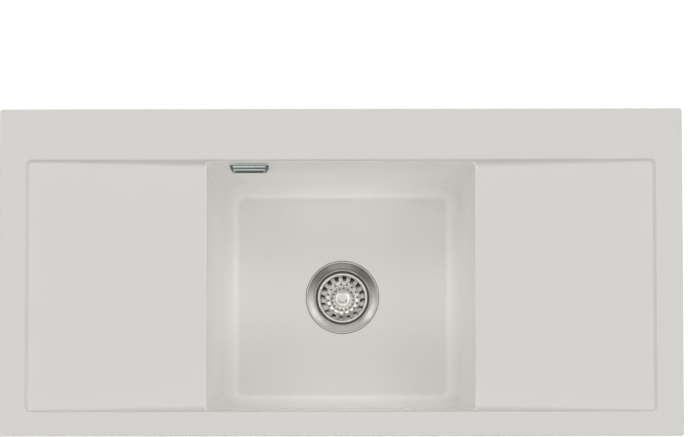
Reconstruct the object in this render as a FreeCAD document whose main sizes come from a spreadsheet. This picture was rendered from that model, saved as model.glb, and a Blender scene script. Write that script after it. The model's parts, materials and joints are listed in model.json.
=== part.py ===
import FreeCAD, Part
import math
import os
import re
import Sketcher

# Inset kitchen sink of glazed fireclay: one deep bowl between two drainboards, a basket
# strainer waste in the bowl's floor, an overflow in its rear wall and four worktop clamps.
#
# Frame: X runs along the sink, Y to the tap ledge at the rear, Z up. The origin is on the
# worktop, under the middle of the front rim, in the middle of the rim seal's width.

# ----------------------------------------------------------------------------------------
# Driving sizes, millimetres
# ----------------------------------------------------------------------------------------
SIZES = {
    # fireclay body, from above
    "sink_width": 1040.0,
    "sink_depth": 500.0,
    "rim_height": 11.0,          # how far the rim stands above the worktop
    "outer_corner": 4.0,
    "outer_edge_round": 2.5,
    "side_ledge": 40.0,
    "front_ledge": 37.0,
    "rear_ledge": 78.0,          # tap ledge
    "recess_corner": 7.0,
    "drainer_drop_outer": 5.5,   # drainboard below the rim at its outer end
    "drainer_drop_inner": 13.0,  # and at the bowl
    "drainer_side_lean": 0.27,   # recess wall, run for each millimetre down
    "drainer_end_lean": 0.9,
    "cove_outer": 4.5,           # hollow corner between drainboard and recess wall
    "cove_inner": 9.0,
    "deck_edge_round": 3.0,
    "bowl_length": 410.0,        # between the drainboard lips
    "bowl_depth": 185.0,
    "bowl_run_ends": 25.0,       # lean of the bowl's end walls over their height
    "bowl_run_sides": 16.9,
    "bowl_inset": 2.2,           # bowl wall inside the recess wall at the rim: they meet at the lips
    "bowl_corner_top": 4.5,
    "bowl_corner_floor": 36.0,
    "bowl_floor_round": 30.0,
    "lip_round": 2.0,
    "dish_radius": 148.0,        # shallow fall of the floor towards the waste
    "dish_fall": 4.0,
    # fireclay body, from below
    "wall": 11.0,
    "floor_thickness": 13.0,
    "rim_overlap": 14.0,         # rim beyond the body that drops into the worktop
    "skirt_depth": 22.0,
    "rib_width": 12.0,
    "front_rib_width": 18.0,     # runs into the bowl's front wall
    "drainer_thickness": 12.0,
    "tap_hole_radius": 17.5,     # knock-out under the tap ledge, blind
    "tap_hole_skin": 6.0,
    "tap_hole_pitch": 125.0,
    # rim seal
    "seal_width": 6.0,
    "seal_height": 3.0,
    # waste: pressed steel strainer cup, plastic body below, one central screw
    "waste_hole_radius": 45.0,
    "flange_radius": 56.5,
    "flange_bead": 2.0,          # width of the raised bead round the flange
    "flange_bead_height": 0.5,
    "flange_seat_gap": 0.4,
    "flange_drop": 5.7,          # dish of the flange from its bead to the cup
    "sheet_steel": 1.2,
    "gasket_thickness": 1.5,
    "gasket_width": 7.0,
    "cup_radius": 42.0,          # inside of the pressed cup
    "cup_neck_radius": 37.6,
    "cup_shoulder_top": 11.0,    # shoulder that the basket seals on
    "cup_shoulder_foot": 16.0,
    "cup_depth": 42.0,
    "cup_port_radius": 7.5,
    "cup_port_circle": 22.5,
    "under_gasket_thickness": 2.5,
    "body_flange_radius": 54.0,
    "body_flange_thickness": 4.0,
    "body_wall": 3.0,
    "body_clearance": 1.3,       # plastic body round the steel cup
    "body_depth": 50.0,          # foot of the body's straight wall, below the bowl floor
    "body_cone": 12.0,
    "outlet_radius": 23.9,
    "outlet_bore_radius": 20.5,
    "outlet_length": 24.0,
    "hub_radius": 9.0,
    "hub_length": 15.0,
    "hub_floor": 3.0,
    "hub_rib": 3.0,
    "insert_radius": 6.0,
    "waste_screw_radius": 4.0,
    "waste_screw_head": 8.0,
    "waste_screw_head_height": 9.0,
    "clip_socket_radius": 4.2,
    "clip_socket_depth": 7.0,
    # basket
    "basket_rim_radius": 38.5,
    "basket_rim_depth": 9.0,     # basket rim below the bowl floor
    "basket_rim_thickness": 1.8,
    "basket_mouth_radius": 36.8,
    "basket_wall_radius": 32.5,
    "basket_wall_depth": 20.0,
    "basket_floor_radius": 22.5,
    "basket_floor_depth": 25.5,
    "basket_dome_height": 8.0,
    "basket_dome_radius": 19.5,
    "basket_dome_flat": 6.0,
    "basket_sheet": 0.8,
    "basket_bend": 2.5,
    "basket_slot_width": 5.0,    # at its inner end, and where it meets the wall
    "basket_slot_mouth": 9.0,
    "basket_slot_inner": 27.5,
    "basket_slot_top": 14.0,
    "basket_hole_radius": 1.4,
    "basket_turn": -5.0,
    "basket_seal_height": 3.6,
    "knob_radius": 7.9,
    "knob_waist": 4.2,
    "knob_foot": 1.2,            # flare of the waist at its foot
    "knob_height": 12.5,
    "stem_radius": 2.5,
    "stem_foot": 37.8,
    "clip_radius": 3.8,
    "clip_length": 5.0,
    "clip_slot": 0.8,
    # overflow in the rear wall
    "overflow_offset": 140.5,    # from the middle of the sink, to the left
    "overflow_depth": 45.0,      # its middle below the rim
    "rosette_width": 60.0,
    "rosette_height": 30.0,
    "rosette_bevel": 4.0,        # the front is this much smaller on each side
    "rosette_projection": 7.0,
    "rosette_wall": 1.6,
    "rosette_corner": 2.0,
    "rosette_window_width": 44.0,
    "rosette_window_height": 14.0,
    "rosette_bar": 1.8,
    "overflow_slot_width": 40.0,
    "overflow_slot_height": 14.0,
    "overflow_gasket": 1.0,
    "overflow_margin": 4.0,      # plate and gaskets beyond the slot
    "overflow_plate": 1.5,
    "plate_window_margin": 1.0,  # plate's windows inside the slot and clear of the screw's head
    "elbow_plate": 4.0,
    "elbow_plate_margin": 3.0,   # elbow's plate beyond its gasket
    "elbow_box_width": 46.0,
    "elbow_box_height": 24.0,
    "elbow_wall": 2.5,
    "elbow_socket_drop": 32.0,
    "overflow_screw_radius": 2.5,
    "overflow_screw_head": 4.2,
    "overflow_screw_head_height": 2.2,
    "overflow_screw_length": 22.0,
    "elbow_boss_radius": 5.0,
    "pipe_radius": 10.0,
    "pipe_bore_radius": 8.2,
    "pipe_bend": 32.0,
    "pipe_entry": 13.0,          # how far the pipe goes into each socket
    "pipe_clearance": 0.3,
    "socket_wall": 2.7,
    "socket_reach": 70.0,        # end of the waste's socket from the drain axis
    "socket_depth": 34.0,        # its axis below the bowl floor
    "nut_wall": 3.2,
    "nut_length": 14.0,
    "nut_cap": 3.0,
    "nut_rib": 1.1,
    "cone_seal_length": 3.0,
    # worktop clamps
    "worktop_thickness": 38.0,
    "clamp_offset": 330.0,       # along the sink from its middle
    "clamp_inset": 16.0,         # screw axis inside the body's outer face
    "boss_length": 44.0,
    "boss_reach": 34.0,
    "dowel_radius": 5.0,
    "dowel_length": 16.0,
    "clamp_screw_radius": 3.0,
    "clamp_screw_head": 6.0,
    "clamp_screw_head_height": 4.0,
    "bracket_width": 16.0,
    "bracket_sheet": 2.0,
    "bracket_heel": 14.0,
    "bracket_claw": 12.0,
    "bracket_claw_gap": 4.0,     # claw leg clear of the body that drops into the worktop
    "bracket_tip": 8.0,
    "bracket_bend": 1.5,
    # gaps
    "contact_gap": 0.05,         # between pieces clamped together
    "running_gap": 0.3,          # between pieces that move apart
    "screw_end_gap": 1.0,        # a screw's end short of its hole's floor
}

# Sizes that follow from the driving ones, as formulas of their names.
DERIVED = {
    "recess_half_x": "sink_width / 2 - side_ledge",
    "recess_half_y": "(sink_depth - front_ledge - rear_ledge) / 2",
    "bowl_centre": "front_ledge - rim_overlap / 2 + recess_half_y",
    "blank_shift": "(rear_ledge - front_ledge) / 2",
    "floor_level": "rim_height - bowl_depth",
    "lip_level": "rim_height - drainer_drop_inner",
    "waste_level": "floor_level - dish_fall",
    "under_floor": "waste_level - floor_thickness",
    "bowl_lean_x": "bowl_run_ends / (lip_level - floor_level)",
    "bowl_lean_y": "bowl_run_sides / bowl_depth",
    "drainer_fall": "(drainer_drop_inner - drainer_drop_outer) / (recess_half_x - bowl_length / 2)",
    "rib_face_x": "sink_width / 2 - rim_overlap - rib_width",
    "rib_face_rear": "recess_half_y + rear_ledge - rim_overlap - rib_width",
    "rib_face_front": "recess_half_y + front_ledge - rim_overlap - front_rib_width",
    "drop_face_rear": "recess_half_y + rear_ledge - rim_overlap",
    "drop_face_front": "recess_half_y + front_ledge - rim_overlap",
    # waste, heights below the bowl floor at the waste
    "cup_outer": "cup_radius + sheet_steel",
    "bead_inner": "flange_radius - flange_bead",
    "flange_slope": "flange_drop / (bead_inner - cup_outer)",
    "neck_outer": "cup_neck_radius + sheet_steel",
    "seat_depth": "sheet_steel + gasket_thickness",
    "screw_head_top": "-cup_depth + sheet_steel + waste_screw_head_height",
    "basket_top": "-basket_floor_depth + basket_dome_height",
    "body_bore": "cup_neck_radius + sheet_steel + body_clearance",
    "body_outer": "body_bore + body_wall",
    "body_mouth": "cup_outer + body_clearance",
    "body_top": "-floor_thickness - under_gasket_thickness",
    "outlet_top": "-body_depth - body_cone",
    "outlet_foot": "outlet_top - outlet_length",
    "socket_bore": "pipe_radius + pipe_clearance",
    "socket_outer": "socket_bore + socket_wall",
    # overflow
    "tap_line": "(recess_half_y - bowl_inset + wall + rib_face_rear) / 2",
    "wall_tilt": "atan(bowl_lean_y)",
    "wall_through": "wall * cos(wall_tilt)",
    "overflow_level": "rim_height - overflow_depth",
    "overflow_face": "recess_half_y - bowl_inset - bowl_lean_y * overflow_depth",
    "elbow_face": "wall_through + gasket_thickness",
    "elbow_axis": "elbow_face + socket_outer",
    "elbow_back": "elbow_axis + socket_outer",
    "pipe_top": "overflow_level - elbow_socket_drop + pipe_entry",
    "pipe_run": "sqrt(overflow_offset ^ 2 + (overflow_face + elbow_axis) ^ 2)",
    "pipe_turn": "90 deg + atan(overflow_offset / (overflow_face + elbow_axis))",
    "pipe_high": "pipe_top - waste_level",
    # clamps
    "claw_top": "-worktop_thickness",
    "bracket_top": "claw_top - bracket_claw",
    "bracket_foot": "bracket_top - bracket_sheet",
    "claw_inner": "clamp_inset + bracket_claw_gap",
}

OCCURRENCES = 16                 # slots and holes round the basket
CLAMP_PLACES = ((-1, -1), (1, -1), (-1, 1), (1, 1))
CLEAR_ABOVE = 5.0                # how far a cutting shape stands above the rim
INNER_END = "(bowl_length / 4)"   # where the drainboards' cutting shape ends, inside the bowl
ALONG_X, ALONG_Y, ALONG_Z = "YZ_Plane", "XZ_Plane", "XY_Plane"

doc = FreeCAD.newDocument("kitchen_sink")
sheet = doc.addObject("Spreadsheet::Sheet", "sizes")
for row, (name, size) in enumerate(SIZES.items(), start=1):
    sheet.set("A%d" % row, name)
    sheet.set("B%d" % row, str(size))
    sheet.setAlias("B%d" % row, name)
doc.recompute()


# ----------------------------------------------------------------------------------------
# Helpers
# ----------------------------------------------------------------------------------------
def formula(text):
    """Write a formula of size names as an expression on the sheet."""
    def on_sheet(match):
        word = match.group(0)
        if word in DERIVED:
            return "(" + formula(DERIVED[word]) + ")"
        return "sizes." + word if word in SIZES else word
    return re.sub(r"[a-z_]+", on_sheet, str(text))


def value(text):
    """The value of a formula, in millimetres or degrees."""
    return float(sheet.evalExpression(formula(text)))


def bind(thing, path, text):
    """Drive one property of an object by a formula of sizes."""
    thing.setExpression(path, formula(text))


def new_body(label):
    body = doc.addObject("PartDesign::Body", label)
    body.Label = label
    return body


def origin_feature(body, role):
    return next(f for f in body.Origin.OriginFeatures if f.Role == role)


def new_sketch(body, name, plane, offset="0", tilt=None):
    """A sketch on one of the body's own planes, moved along its normal or tilted about X."""
    sketch = body.newObject("Sketcher::SketchObject", name)
    sketch.AttachmentSupport = [(origin_feature(body, plane), "")]
    sketch.MapMode = "FlatFace"
    if tilt:
        turn = FreeCAD.Rotation(FreeCAD.Vector(1, 0, 0), value(tilt))
        sketch.AttachmentOffset = FreeCAD.Placement(FreeCAD.Vector(0, 0, 0), turn)
        bind(sketch, "AttachmentOffset.Rotation.Angle", tilt)
        upright = "(%s)" % offset
        bind(sketch, "AttachmentOffset.Base.y", "-%s * sin(%s)" % (upright, tilt))
        bind(sketch, "AttachmentOffset.Base.z", "%s * cos(%s)" % (upright, tilt))
        return sketch
    bind(sketch, "AttachmentOffset.Base.z", offset)
    return sketch


def dome_side(a, b):
    """The arc from one point to another with its centre on the sketch's upright axis.

    Returns the arc and the numbers of its ends at a and at b.
    """
    height = (b.x ** 2 + b.y ** 2 - a.x ** 2 - a.y ** 2) / (2 * (b.y - a.y))
    centre = FreeCAD.Vector(0, height, 0)
    whole = Part.Circle(centre, FreeCAD.Vector(0, 0, 1), (a - centre).Length)
    at_a, at_b = (math.atan2(p.y - height, p.x) for p in (a, b))
    if at_a < at_b:
        return Part.ArcOfCircle(whole, at_a, at_b), 1, 2
    return Part.ArcOfCircle(whole, at_b, at_a), 2, 1


def polygon(sketch, corners, domed=()):
    """A closed outline whose corners are pairs of formulas.

    A side after a corner listed in domed bulges as an arc centred on the sketch's upright axis.
    """
    points = [FreeCAD.Vector(value(x), value(y), 0) for x, y in corners]
    count = len(points)
    sides = []
    for i, corner in enumerate(corners):
        a, b = points[i], points[(i + 1) % count]
        if corner in domed:
            arc, start, end = dome_side(a, b)
            side = sketch.addGeometry(arc, False)
            sketch.addConstraint(Sketcher.Constraint("PointOnObject", side, 3, -2))
        else:
            side, start, end = sketch.addGeometry(Part.LineSegment(a, b), False), 1, 2
        sides.append((side, start, end))
    for i, (x, y) in enumerate(corners):
        side, start, end = sides[i]
        after, joined = sides[(i + 1) % count][:2]
        sketch.addConstraint(Sketcher.Constraint("Coincident", side, end, after, joined))
        for kind, text, size in (("DistanceX", x, points[i].x), ("DistanceY", y, points[i].y)):
            index = sketch.addConstraint(Sketcher.Constraint(kind, -1, 1, side, start, size))
            bind(sketch, "Constraints[%d]" % index, text)


def rectangle(sketch, half_x, half_y):
    """A sharp rectangle about the sketch's own centre."""
    left, front = "-" + half_x, "-" + half_y
    polygon(sketch, [(left, front), (half_x, front), (half_x, half_y), (left, half_y)])


def circle(sketch, x, y, radius):
    centre = FreeCAD.Vector(value(x), value(y), 0)
    edge = sketch.addGeometry(
        Part.Circle(centre, FreeCAD.Vector(0, 0, 1), value(radius)), False)
    for kind, text, size in (("DistanceX", x, centre.x), ("DistanceY", y, centre.y)):
        index = sketch.addConstraint(Sketcher.Constraint(kind, -1, 1, edge, 3, size))
        bind(sketch, "Constraints[%d]" % index, text)
    index = sketch.addConstraint(Sketcher.Constraint("Radius", edge, value(radius)))
    bind(sketch, "Constraints[%d]" % index, radius)


def rounded_rectangle(sketch, low_x, low_y, high_x, high_y, corner):
    """A rectangle between two corners with four equal round corners."""
    x0, y0, x1, y1, r = (value(v) for v in (low_x, low_y, high_x, high_y, corner))
    up = FreeCAD.Vector(0, 0, 1)
    centres = ((x1 - r, y0 + r, 270), (x1 - r, y1 - r, 0), (x0 + r, y1 - r, 90), (x0 + r, y0 + r, 180))
    ends = []
    arcs = []
    for cx, cy, start in centres:
        round_end = Part.Circle(FreeCAD.Vector(cx, cy, 0), up, r)
        a, b = math.radians(start), math.radians(start + 90)
        arcs.append(sketch.addGeometry(Part.ArcOfCircle(round_end, a, b), False))
        ends.append([FreeCAD.Vector(cx + r * math.cos(t), cy + r * math.sin(t), 0) for t in (a, b)])
    lines = []
    for i in range(4):
        before = ends[i - 1][1]
        lines.append(sketch.addGeometry(Part.LineSegment(before, ends[i][0]), False))
    for i in range(4):
        sketch.addConstraint(Sketcher.Constraint("Tangent", lines[i], 2, arcs[i], 1))
        sketch.addConstraint(Sketcher.Constraint("Tangent", arcs[i - 1], 2, lines[i], 1))
        sketch.addConstraint(Sketcher.Constraint("Horizontal" if i % 2 == 0 else "Vertical", lines[i]))
    for other in arcs[1:]:
        sketch.addConstraint(Sketcher.Constraint("Equal", arcs[0], other))
    index = sketch.addConstraint(Sketcher.Constraint("Radius", arcs[0], r))
    bind(sketch, "Constraints[%d]" % index, corner)
    for kind, line, text, size in (("DistanceY", lines[0], low_y, y0), ("DistanceX", lines[1], high_x, x1),
                                   ("DistanceY", lines[2], high_y, y1), ("DistanceX", lines[3], low_x, x0)):
        index = sketch.addConstraint(Sketcher.Constraint(kind, -1, 1, line, 1, size))
        bind(sketch, "Constraints[%d]" % index, text)


def extrude(body, kind, sketch, length, reverse=False, symmetric=False):
    """A Pad or Pocket of one sketch."""
    feature = body.newObject("PartDesign::" + kind, sketch.Name + "_" + kind.lower())
    feature.Profile = sketch
    feature.Reversed = reverse
    if symmetric:
        feature.SideType = "Symmetric"
    bind(feature, "Length", length)
    return feature


def revolve(body, name, corners, cut=False, domed=()):
    """Turn a half section, pairs of radius and height, about the body's Z axis."""
    sketch = new_sketch(body, name + "_section", ALONG_Y)
    polygon(sketch, corners, domed)
    feature = body.newObject("PartDesign::" + ("Groove" if cut else "Revolution"), name)
    feature.Profile = sketch
    feature.ReferenceAxis = (sketch, ["V_Axis"])
    feature.Angle = 360.0
    return feature


def loft(body, name, sections, cut=False):
    """A ruled loft through a list of sketches."""
    feature = body.newObject("PartDesign::" + ("SubtractiveLoft" if cut else "AdditiveLoft"), name)
    feature.Profile = sections[0]
    feature.Sections = sections[1:]
    feature.Ruled = True
    return feature


def polar(body, name, originals, count=OCCURRENCES):
    """Repeat features round the body's Z axis."""
    feature = body.newObject("PartDesign::PolarPattern", name)
    feature.Originals = originals
    feature.Axis = (origin_feature(body, "Z_Axis"), [""])
    feature.Angle = 360.0
    feature.Occurrences = count
    body.Tip = feature
    return feature


def edges_where(shape, wanted):
    """Names of the edges that a test on the edge accepts."""
    return ["Edge%d" % i for i, edge in enumerate(shape.Edges, start=1) if wanted(edge)]


def round_edges(body, name, wanted, radius):
    """Fillet the edges of the body's last feature that a test accepts."""
    doc.recompute()
    base = body.Tip
    names = edges_where(base.Shape, wanted)
    feature = body.newObject("PartDesign::Fillet", name)
    feature.Base = (base, names)
    bind(feature, "Radius", radius)
    return feature


def level_edge(edge, level):
    """True for an edge that lies wholly at one height."""
    box = edge.BoundBox
    return abs(box.ZMin - level) < 1e-4 and abs(box.ZMax - level) < 1e-4


def ring_at(radius, level):
    """A test for full circles about Z of one radius and height."""
    def wanted(edge):
        if not level_edge(edge, value(level)):
            return False
        curve = edge.Curve
        return curve.TypeId == "Part::GeomCircle" and abs(curve.Radius - value(radius)) < 1e-4
    return wanted


def spans_x(y, z):
    """A test for straight edges along X at one place in the section."""
    def wanted(edge):
        box = edge.BoundBox
        return (box.XLength > 1 and abs(box.YMin - value(y)) < 1e-4 and abs(box.YMax - value(y)) < 1e-4
                and abs(box.ZMin - value(z)) < 1e-4 and abs(box.ZMax - value(z)) < 1e-4)
    return wanted


def place(thing, x="0", y="bowl_centre", z="0", turn=None, about=(0, 0, 1)):
    """Put a finished sub-part in the sink's frame."""
    if turn is not None:
        thing.Placement = FreeCAD.Placement(
            FreeCAD.Vector(0, 0, 0), FreeCAD.Rotation(FreeCAD.Vector(*about), value(turn)))
        bind(thing, "Placement.Rotation.Angle", turn)
    for axis, text in (("x", x), ("y", y), ("z", z)):
        bind(thing, "Placement.Base." + axis, text)
    return thing


# ----------------------------------------------------------------------------------------
# Fireclay sink
# ----------------------------------------------------------------------------------------
def bowl_half_x(level):
    return "(bowl_length / 2 + bowl_lean_x * ((%s) - lip_level))" % level


def bowl_half_y(level):
    return "(recess_half_y - bowl_inset + bowl_lean_y * ((%s) - rim_height))" % level


def floor_at(x):
    """Height of the drainboard's floor at a distance from the middle of the sink."""
    return "(lip_level + drainer_fall * (%s - bowl_length / 2))" % x


def bowl_section(body, name, level, corner, grow="0"):
    """The bowl's plan at one level, grown outwards by a wall."""
    half_x = "(%s + %s)" % (bowl_half_x(level), grow)
    half_y = "(%s + %s)" % (bowl_half_y(level), grow)
    sketch = new_sketch(body, name, ALONG_Z, level)
    rounded_rectangle(sketch, "-" + half_x, "-" + half_y, half_x, half_y, "%s + %s" % (corner, grow))
    return sketch


def clamp_line(side):
    """Distance of the clamp screws from the bowl's middle, at the front or the rear."""
    return "(drop_face_rear - clamp_inset)" if side > 0 else "(clamp_inset - drop_face_front)"


def basin_blank():
    """The fireclay body before its hollows are cut, with its ribs, bosses and underside."""
    body = new_body("basin_blank")

    def plan(sketch, inset, corner="outer_corner"):
        rounded_rectangle(
            sketch,
            "-(sink_width / 2 - %s)" % inset,
            "-(recess_half_y + front_ledge - %s)" % inset,
            "sink_width / 2 - %s" % inset,
            "recess_half_y + rear_ledge - %s" % inset,
            corner)

    rim = new_sketch(body, "rim", ALONG_Z)
    plan(rim, "0")
    extrude(body, "Pad", rim, "rim_height")
    skirt = new_sketch(body, "skirt", ALONG_Z)
    plan(skirt, "rim_overlap")
    extrude(body, "Pad", skirt, "skirt_depth", reverse=True)
    round_edges(body, "rim_edge_round", lambda e: level_edge(e, value("rim_height")), "outer_edge_round")

    # hollow underside: the roof follows the drainboards down to the bowl
    hollow = new_sketch(body, "underside", ALONG_Y, "(rib_face_front - rib_face_rear) / 2")
    roof_outer = "rim_height - drainer_drop_outer - drainer_thickness"
    roof_inner = "lip_level - drainer_thickness"
    polygon(hollow, [
        ("-rib_face_x", "-skirt_depth - 1"), ("rib_face_x", "-skirt_depth - 1"), ("rib_face_x", roof_outer),
        ("bowl_length / 2", roof_inner), ("-bowl_length / 2", roof_inner), ("-rib_face_x", roof_outer)])
    extrude(body, "Pocket", hollow, "rib_face_rear + rib_face_front", symmetric=True)

    # bosses that the worktop clamps hang from, each with its dowel hole
    for number, (side, end) in enumerate(CLAMP_PLACES, start=1):
        low = "%d * clamp_offset - boss_length / 2" % side
        high = "%d * clamp_offset + boss_length / 2" % side
        near, far = "drop_face_rear - boss_reach", "drop_face_rear - rib_width / 2"
        if end < 0:
            near, far = "-drop_face_front + front_rib_width / 2", "-drop_face_front + boss_reach"
        boss = new_sketch(body, "boss_%d" % number, ALONG_Z, "-skirt_depth")
        rounded_rectangle(boss, low, near, high, far, "outer_corner")
        extrude(body, "Pad", boss, "skirt_depth - drainer_thickness / 2")
    dowels = new_sketch(body, "dowel_holes", ALONG_Z, "-skirt_depth")
    for side, end in CLAMP_PLACES:
        circle(dowels, "%d * clamp_offset" % side, clamp_line(end), "dowel_radius + contact_gap")
    extrude(body, "Pocket", dowels, "dowel_length + contact_gap", reverse=True)

    # outside of the bowl
    outer = [bowl_section(body, "bowl_outside_top", "0", "bowl_corner_top", "wall"),
             bowl_section(body, "bowl_outside_foot", "under_floor", "bowl_corner_floor", "wall")]
    loft(body, "bowl_outside", outer)
    round_edges(body, "bowl_foot_round", lambda e: level_edge(e, value("under_floor")),
                "bowl_floor_round + wall / 2")

    # blind recesses under the tap ledge, knocked out for the taps
    knockouts = new_sketch(body, "tap_knockouts", ALONG_Z, "-skirt_depth")
    for column in (0, 1):
        circle(knockouts, "%d * tap_hole_pitch" % column, "tap_line", "tap_hole_radius")
    extrude(body, "Pocket", knockouts, "skirt_depth + rim_height - tap_hole_skin", reverse=True)

    # groove for the rim seal
    groove = new_sketch(body, "seal_groove", ALONG_Z)
    plan(groove, "(rim_overlap - seal_width) / 2")
    plan(groove, "(rim_overlap + seal_width) / 2")
    extrude(body, "Pocket", groove, "seal_height", reverse=True)
    return body


def bowl_void():
    """The space inside the bowl, with the waste hole and the flange's seat."""
    body = new_body("bowl_void")
    top = "(rim_height + %s)" % CLEAR_ABOVE
    sections = [bowl_section(body, "bowl_top", top, "bowl_corner_top"),
                bowl_section(body, "bowl_foot", "floor_level", "bowl_corner_floor")]
    loft(body, "bowl_inside", sections)
    round_edges(body, "bowl_floor_cove", lambda e: level_edge(e, value("floor_level")), "bowl_floor_round")
    seat = "(waste_level - seat_depth)"
    edge = "flange_radius + flange_seat_gap"
    beneath = "under_floor - %s" % CLEAR_ABOVE
    revolve(body, "waste_seat", [
        ("0", "floor_level + 1"), ("dish_radius", "floor_level + 1"), ("dish_radius", "floor_level"),
        (edge, "waste_level"), (edge, seat), ("bead_inner", seat),
        ("waste_hole_radius", "%s - flange_slope * (bead_inner - waste_hole_radius)" % seat),
        ("waste_hole_radius", beneath), ("0", beneath)])
    return body


def drainer_void():
    """The recess of both drainboards as one solid, with its sloping floors."""
    body = new_body("drainer_void")

    def section(name, level):
        half_x = "(recess_half_x + drainer_end_lean * ((%s) - rim_height))" % level
        half_y = "(recess_half_y + drainer_side_lean * ((%s) - rim_height))" % level
        sketch = new_sketch(body, name, ALONG_Z, level)
        rounded_rectangle(sketch, "-" + half_x, "-" + half_y, half_x, half_y, "recess_corner")
        return sketch

    low = "rim_height - 2 * drainer_drop_inner - %s" % CLEAR_ABOVE
    loft(body, "recess", [section("recess_top", "rim_height + %s" % CLEAR_ABOVE),
                          section("recess_foot", low)])
    far = "(recess_half_x + side_ledge / 2)"
    near = INNER_END
    beneath = low + " - %s" % CLEAR_ABOVE
    shallow = "(rim_height - drainer_drop_inner * 2 / 3)"
    floor = new_sketch(body, "drainer_floors", ALONG_Y)
    polygon(floor, [
        ("-" + far, floor_at(far)), ("-" + near, floor_at(near)), ("-" + near, shallow),
        (near, shallow), (near, floor_at(near)), (far, floor_at(far)), (far, beneath), ("-" + far, beneath)])
    extrude(body, "Pocket", floor, "sink_depth", symmetric=True)
    doc.recompute()
    return body


def coved_drainer(drainer):
    """The drainboards' recess with its foot rounded, wider towards the bowl."""
    end = value(INNER_END)
    span = value("recess_half_x - bowl_length / 2")
    small, large = value("cove_outer"), value("cove_inner")
    at_end = small + (large - small) * (value("recess_half_x") - end) / span
    edges = []
    for number, edge in enumerate(drainer.Shape.Edges, start=1):
        a, b = edge.valueAt(edge.FirstParameter), edge.valueAt(edge.LastParameter)
        middle = edge.valueAt((edge.FirstParameter + edge.LastParameter) / 2)
        on_floor = all(abs(p.z - value(floor_at(abs(p.x)))) < 1e-3 for p in (a, middle, b))
        if not on_floor or max(abs(a.x), abs(b.x)) < end + 5:
            continue
        if abs(a.x - b.x) < span / 4:
            edges.append((number, small, small))
        elif abs(a.x) > abs(b.x):
            edges.append((number, small, at_end))
        else:
            edges.append((number, at_end, small))
    cove = doc.addObject("Part::Fillet", "drainer_coves")
    cove.Base = drainer
    cove.Edges = edges
    return cove


def overflow_slot():
    """The slot through the bowl's rear wall."""
    body = new_body("overflow_slot")
    slot = new_sketch(body, "slot", ALONG_Y)
    rounded_rectangle(
        slot, "-overflow_slot_width / 2", "-overflow_slot_height / 2",
        "overflow_slot_width / 2", "overflow_slot_height / 2", "overflow_slot_height / 3")
    extrude(body, "Pad", slot, "wall * 4", symmetric=True)
    return in_wall(body, y="overflow_face")


def in_wall(body, y="bowl_centre + overflow_face"):
    """Stand a sub-part square to the leaning rear wall of the bowl, at the overflow."""
    return place(body, "-overflow_offset", y, "overflow_level", turn="wall_tilt", about=(-1, 0, 0))


def edge_round(name, base, wanted, radius):
    """Fillet the edges of any shape that a test accepts."""
    doc.recompute()
    feature = doc.addObject("Part::Fillet", name)
    feature.Base = base
    feature.Edges = [(number, value(radius), value(radius))
                     for number, edge in enumerate(base.Shape.Edges, start=1) if wanted(edge)]
    return feature


def sink_basin():
    blank = basin_blank()
    bowl = bowl_void()
    drainer = drainer_void()
    slot = overflow_slot()
    voids = doc.addObject("Part::MultiFuse", "voids")
    voids.Shapes = [bowl, coved_drainer(drainer), slot]
    voids.Refine = True
    hollow = doc.addObject("Part::Cut", "hollow_basin")
    hollow.Base = blank
    hollow.Tool = voids
    hollow.Refine = True

    def deck_edge(edge):
        box = edge.BoundBox
        return (level_edge(edge, value("rim_height"))
                and max(abs(box.XMin), abs(box.XMax)) < value("recess_half_x") + 1e-3
                and max(abs(box.YMin), abs(box.YMax)) < value("recess_half_y") + 1e-3)

    def lip_edge(edge):
        box = edge.BoundBox
        return (level_edge(edge, value("lip_level")) and box.YLength > value("recess_half_y")
                and abs(abs(box.Center.x) - value("bowl_length / 2")) < 1e-3)

    deck = edge_round("deck_edges", hollow, deck_edge, "deck_edge_round")
    basin = edge_round("sink_basin", deck, lip_edge, "lip_round")
    basin.Label = "sink_basin"
    return place(basin)


def rim_seal():
    body = new_body("rim_seal")
    ring = new_sketch(body, "ring", ALONG_Z)
    for side in ("-", "+"):
        inset = "(rim_overlap %s seal_width) / 2" % side
        rounded_rectangle(
            ring, "-(sink_width / 2 - %s)" % inset, "-(recess_half_y + front_ledge - %s)" % inset,
            "sink_width / 2 - %s" % inset, "recess_half_y + rear_ledge - %s" % inset, "outer_corner")
    extrude(body, "Pad", ring, "seal_height")
    return place(body)


# ----------------------------------------------------------------------------------------
# Waste: heights are from the bowl floor round it
# ----------------------------------------------------------------------------------------
def under_flange(radius, thickness="0"):
    """Height of the flange's sloping underside, or of what lies below it."""
    return "(-sheet_steel - (%s) - flange_slope * (bead_inner - (%s)))" % (thickness, radius)


def shoulder(depth):
    """Radius of the cup's shoulder at a depth."""
    share = "((cup_shoulder_foot - (%s)) / (cup_shoulder_foot - cup_shoulder_top))" % depth
    return "(cup_neck_radius + (cup_radius - cup_neck_radius) * %s)" % share


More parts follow.
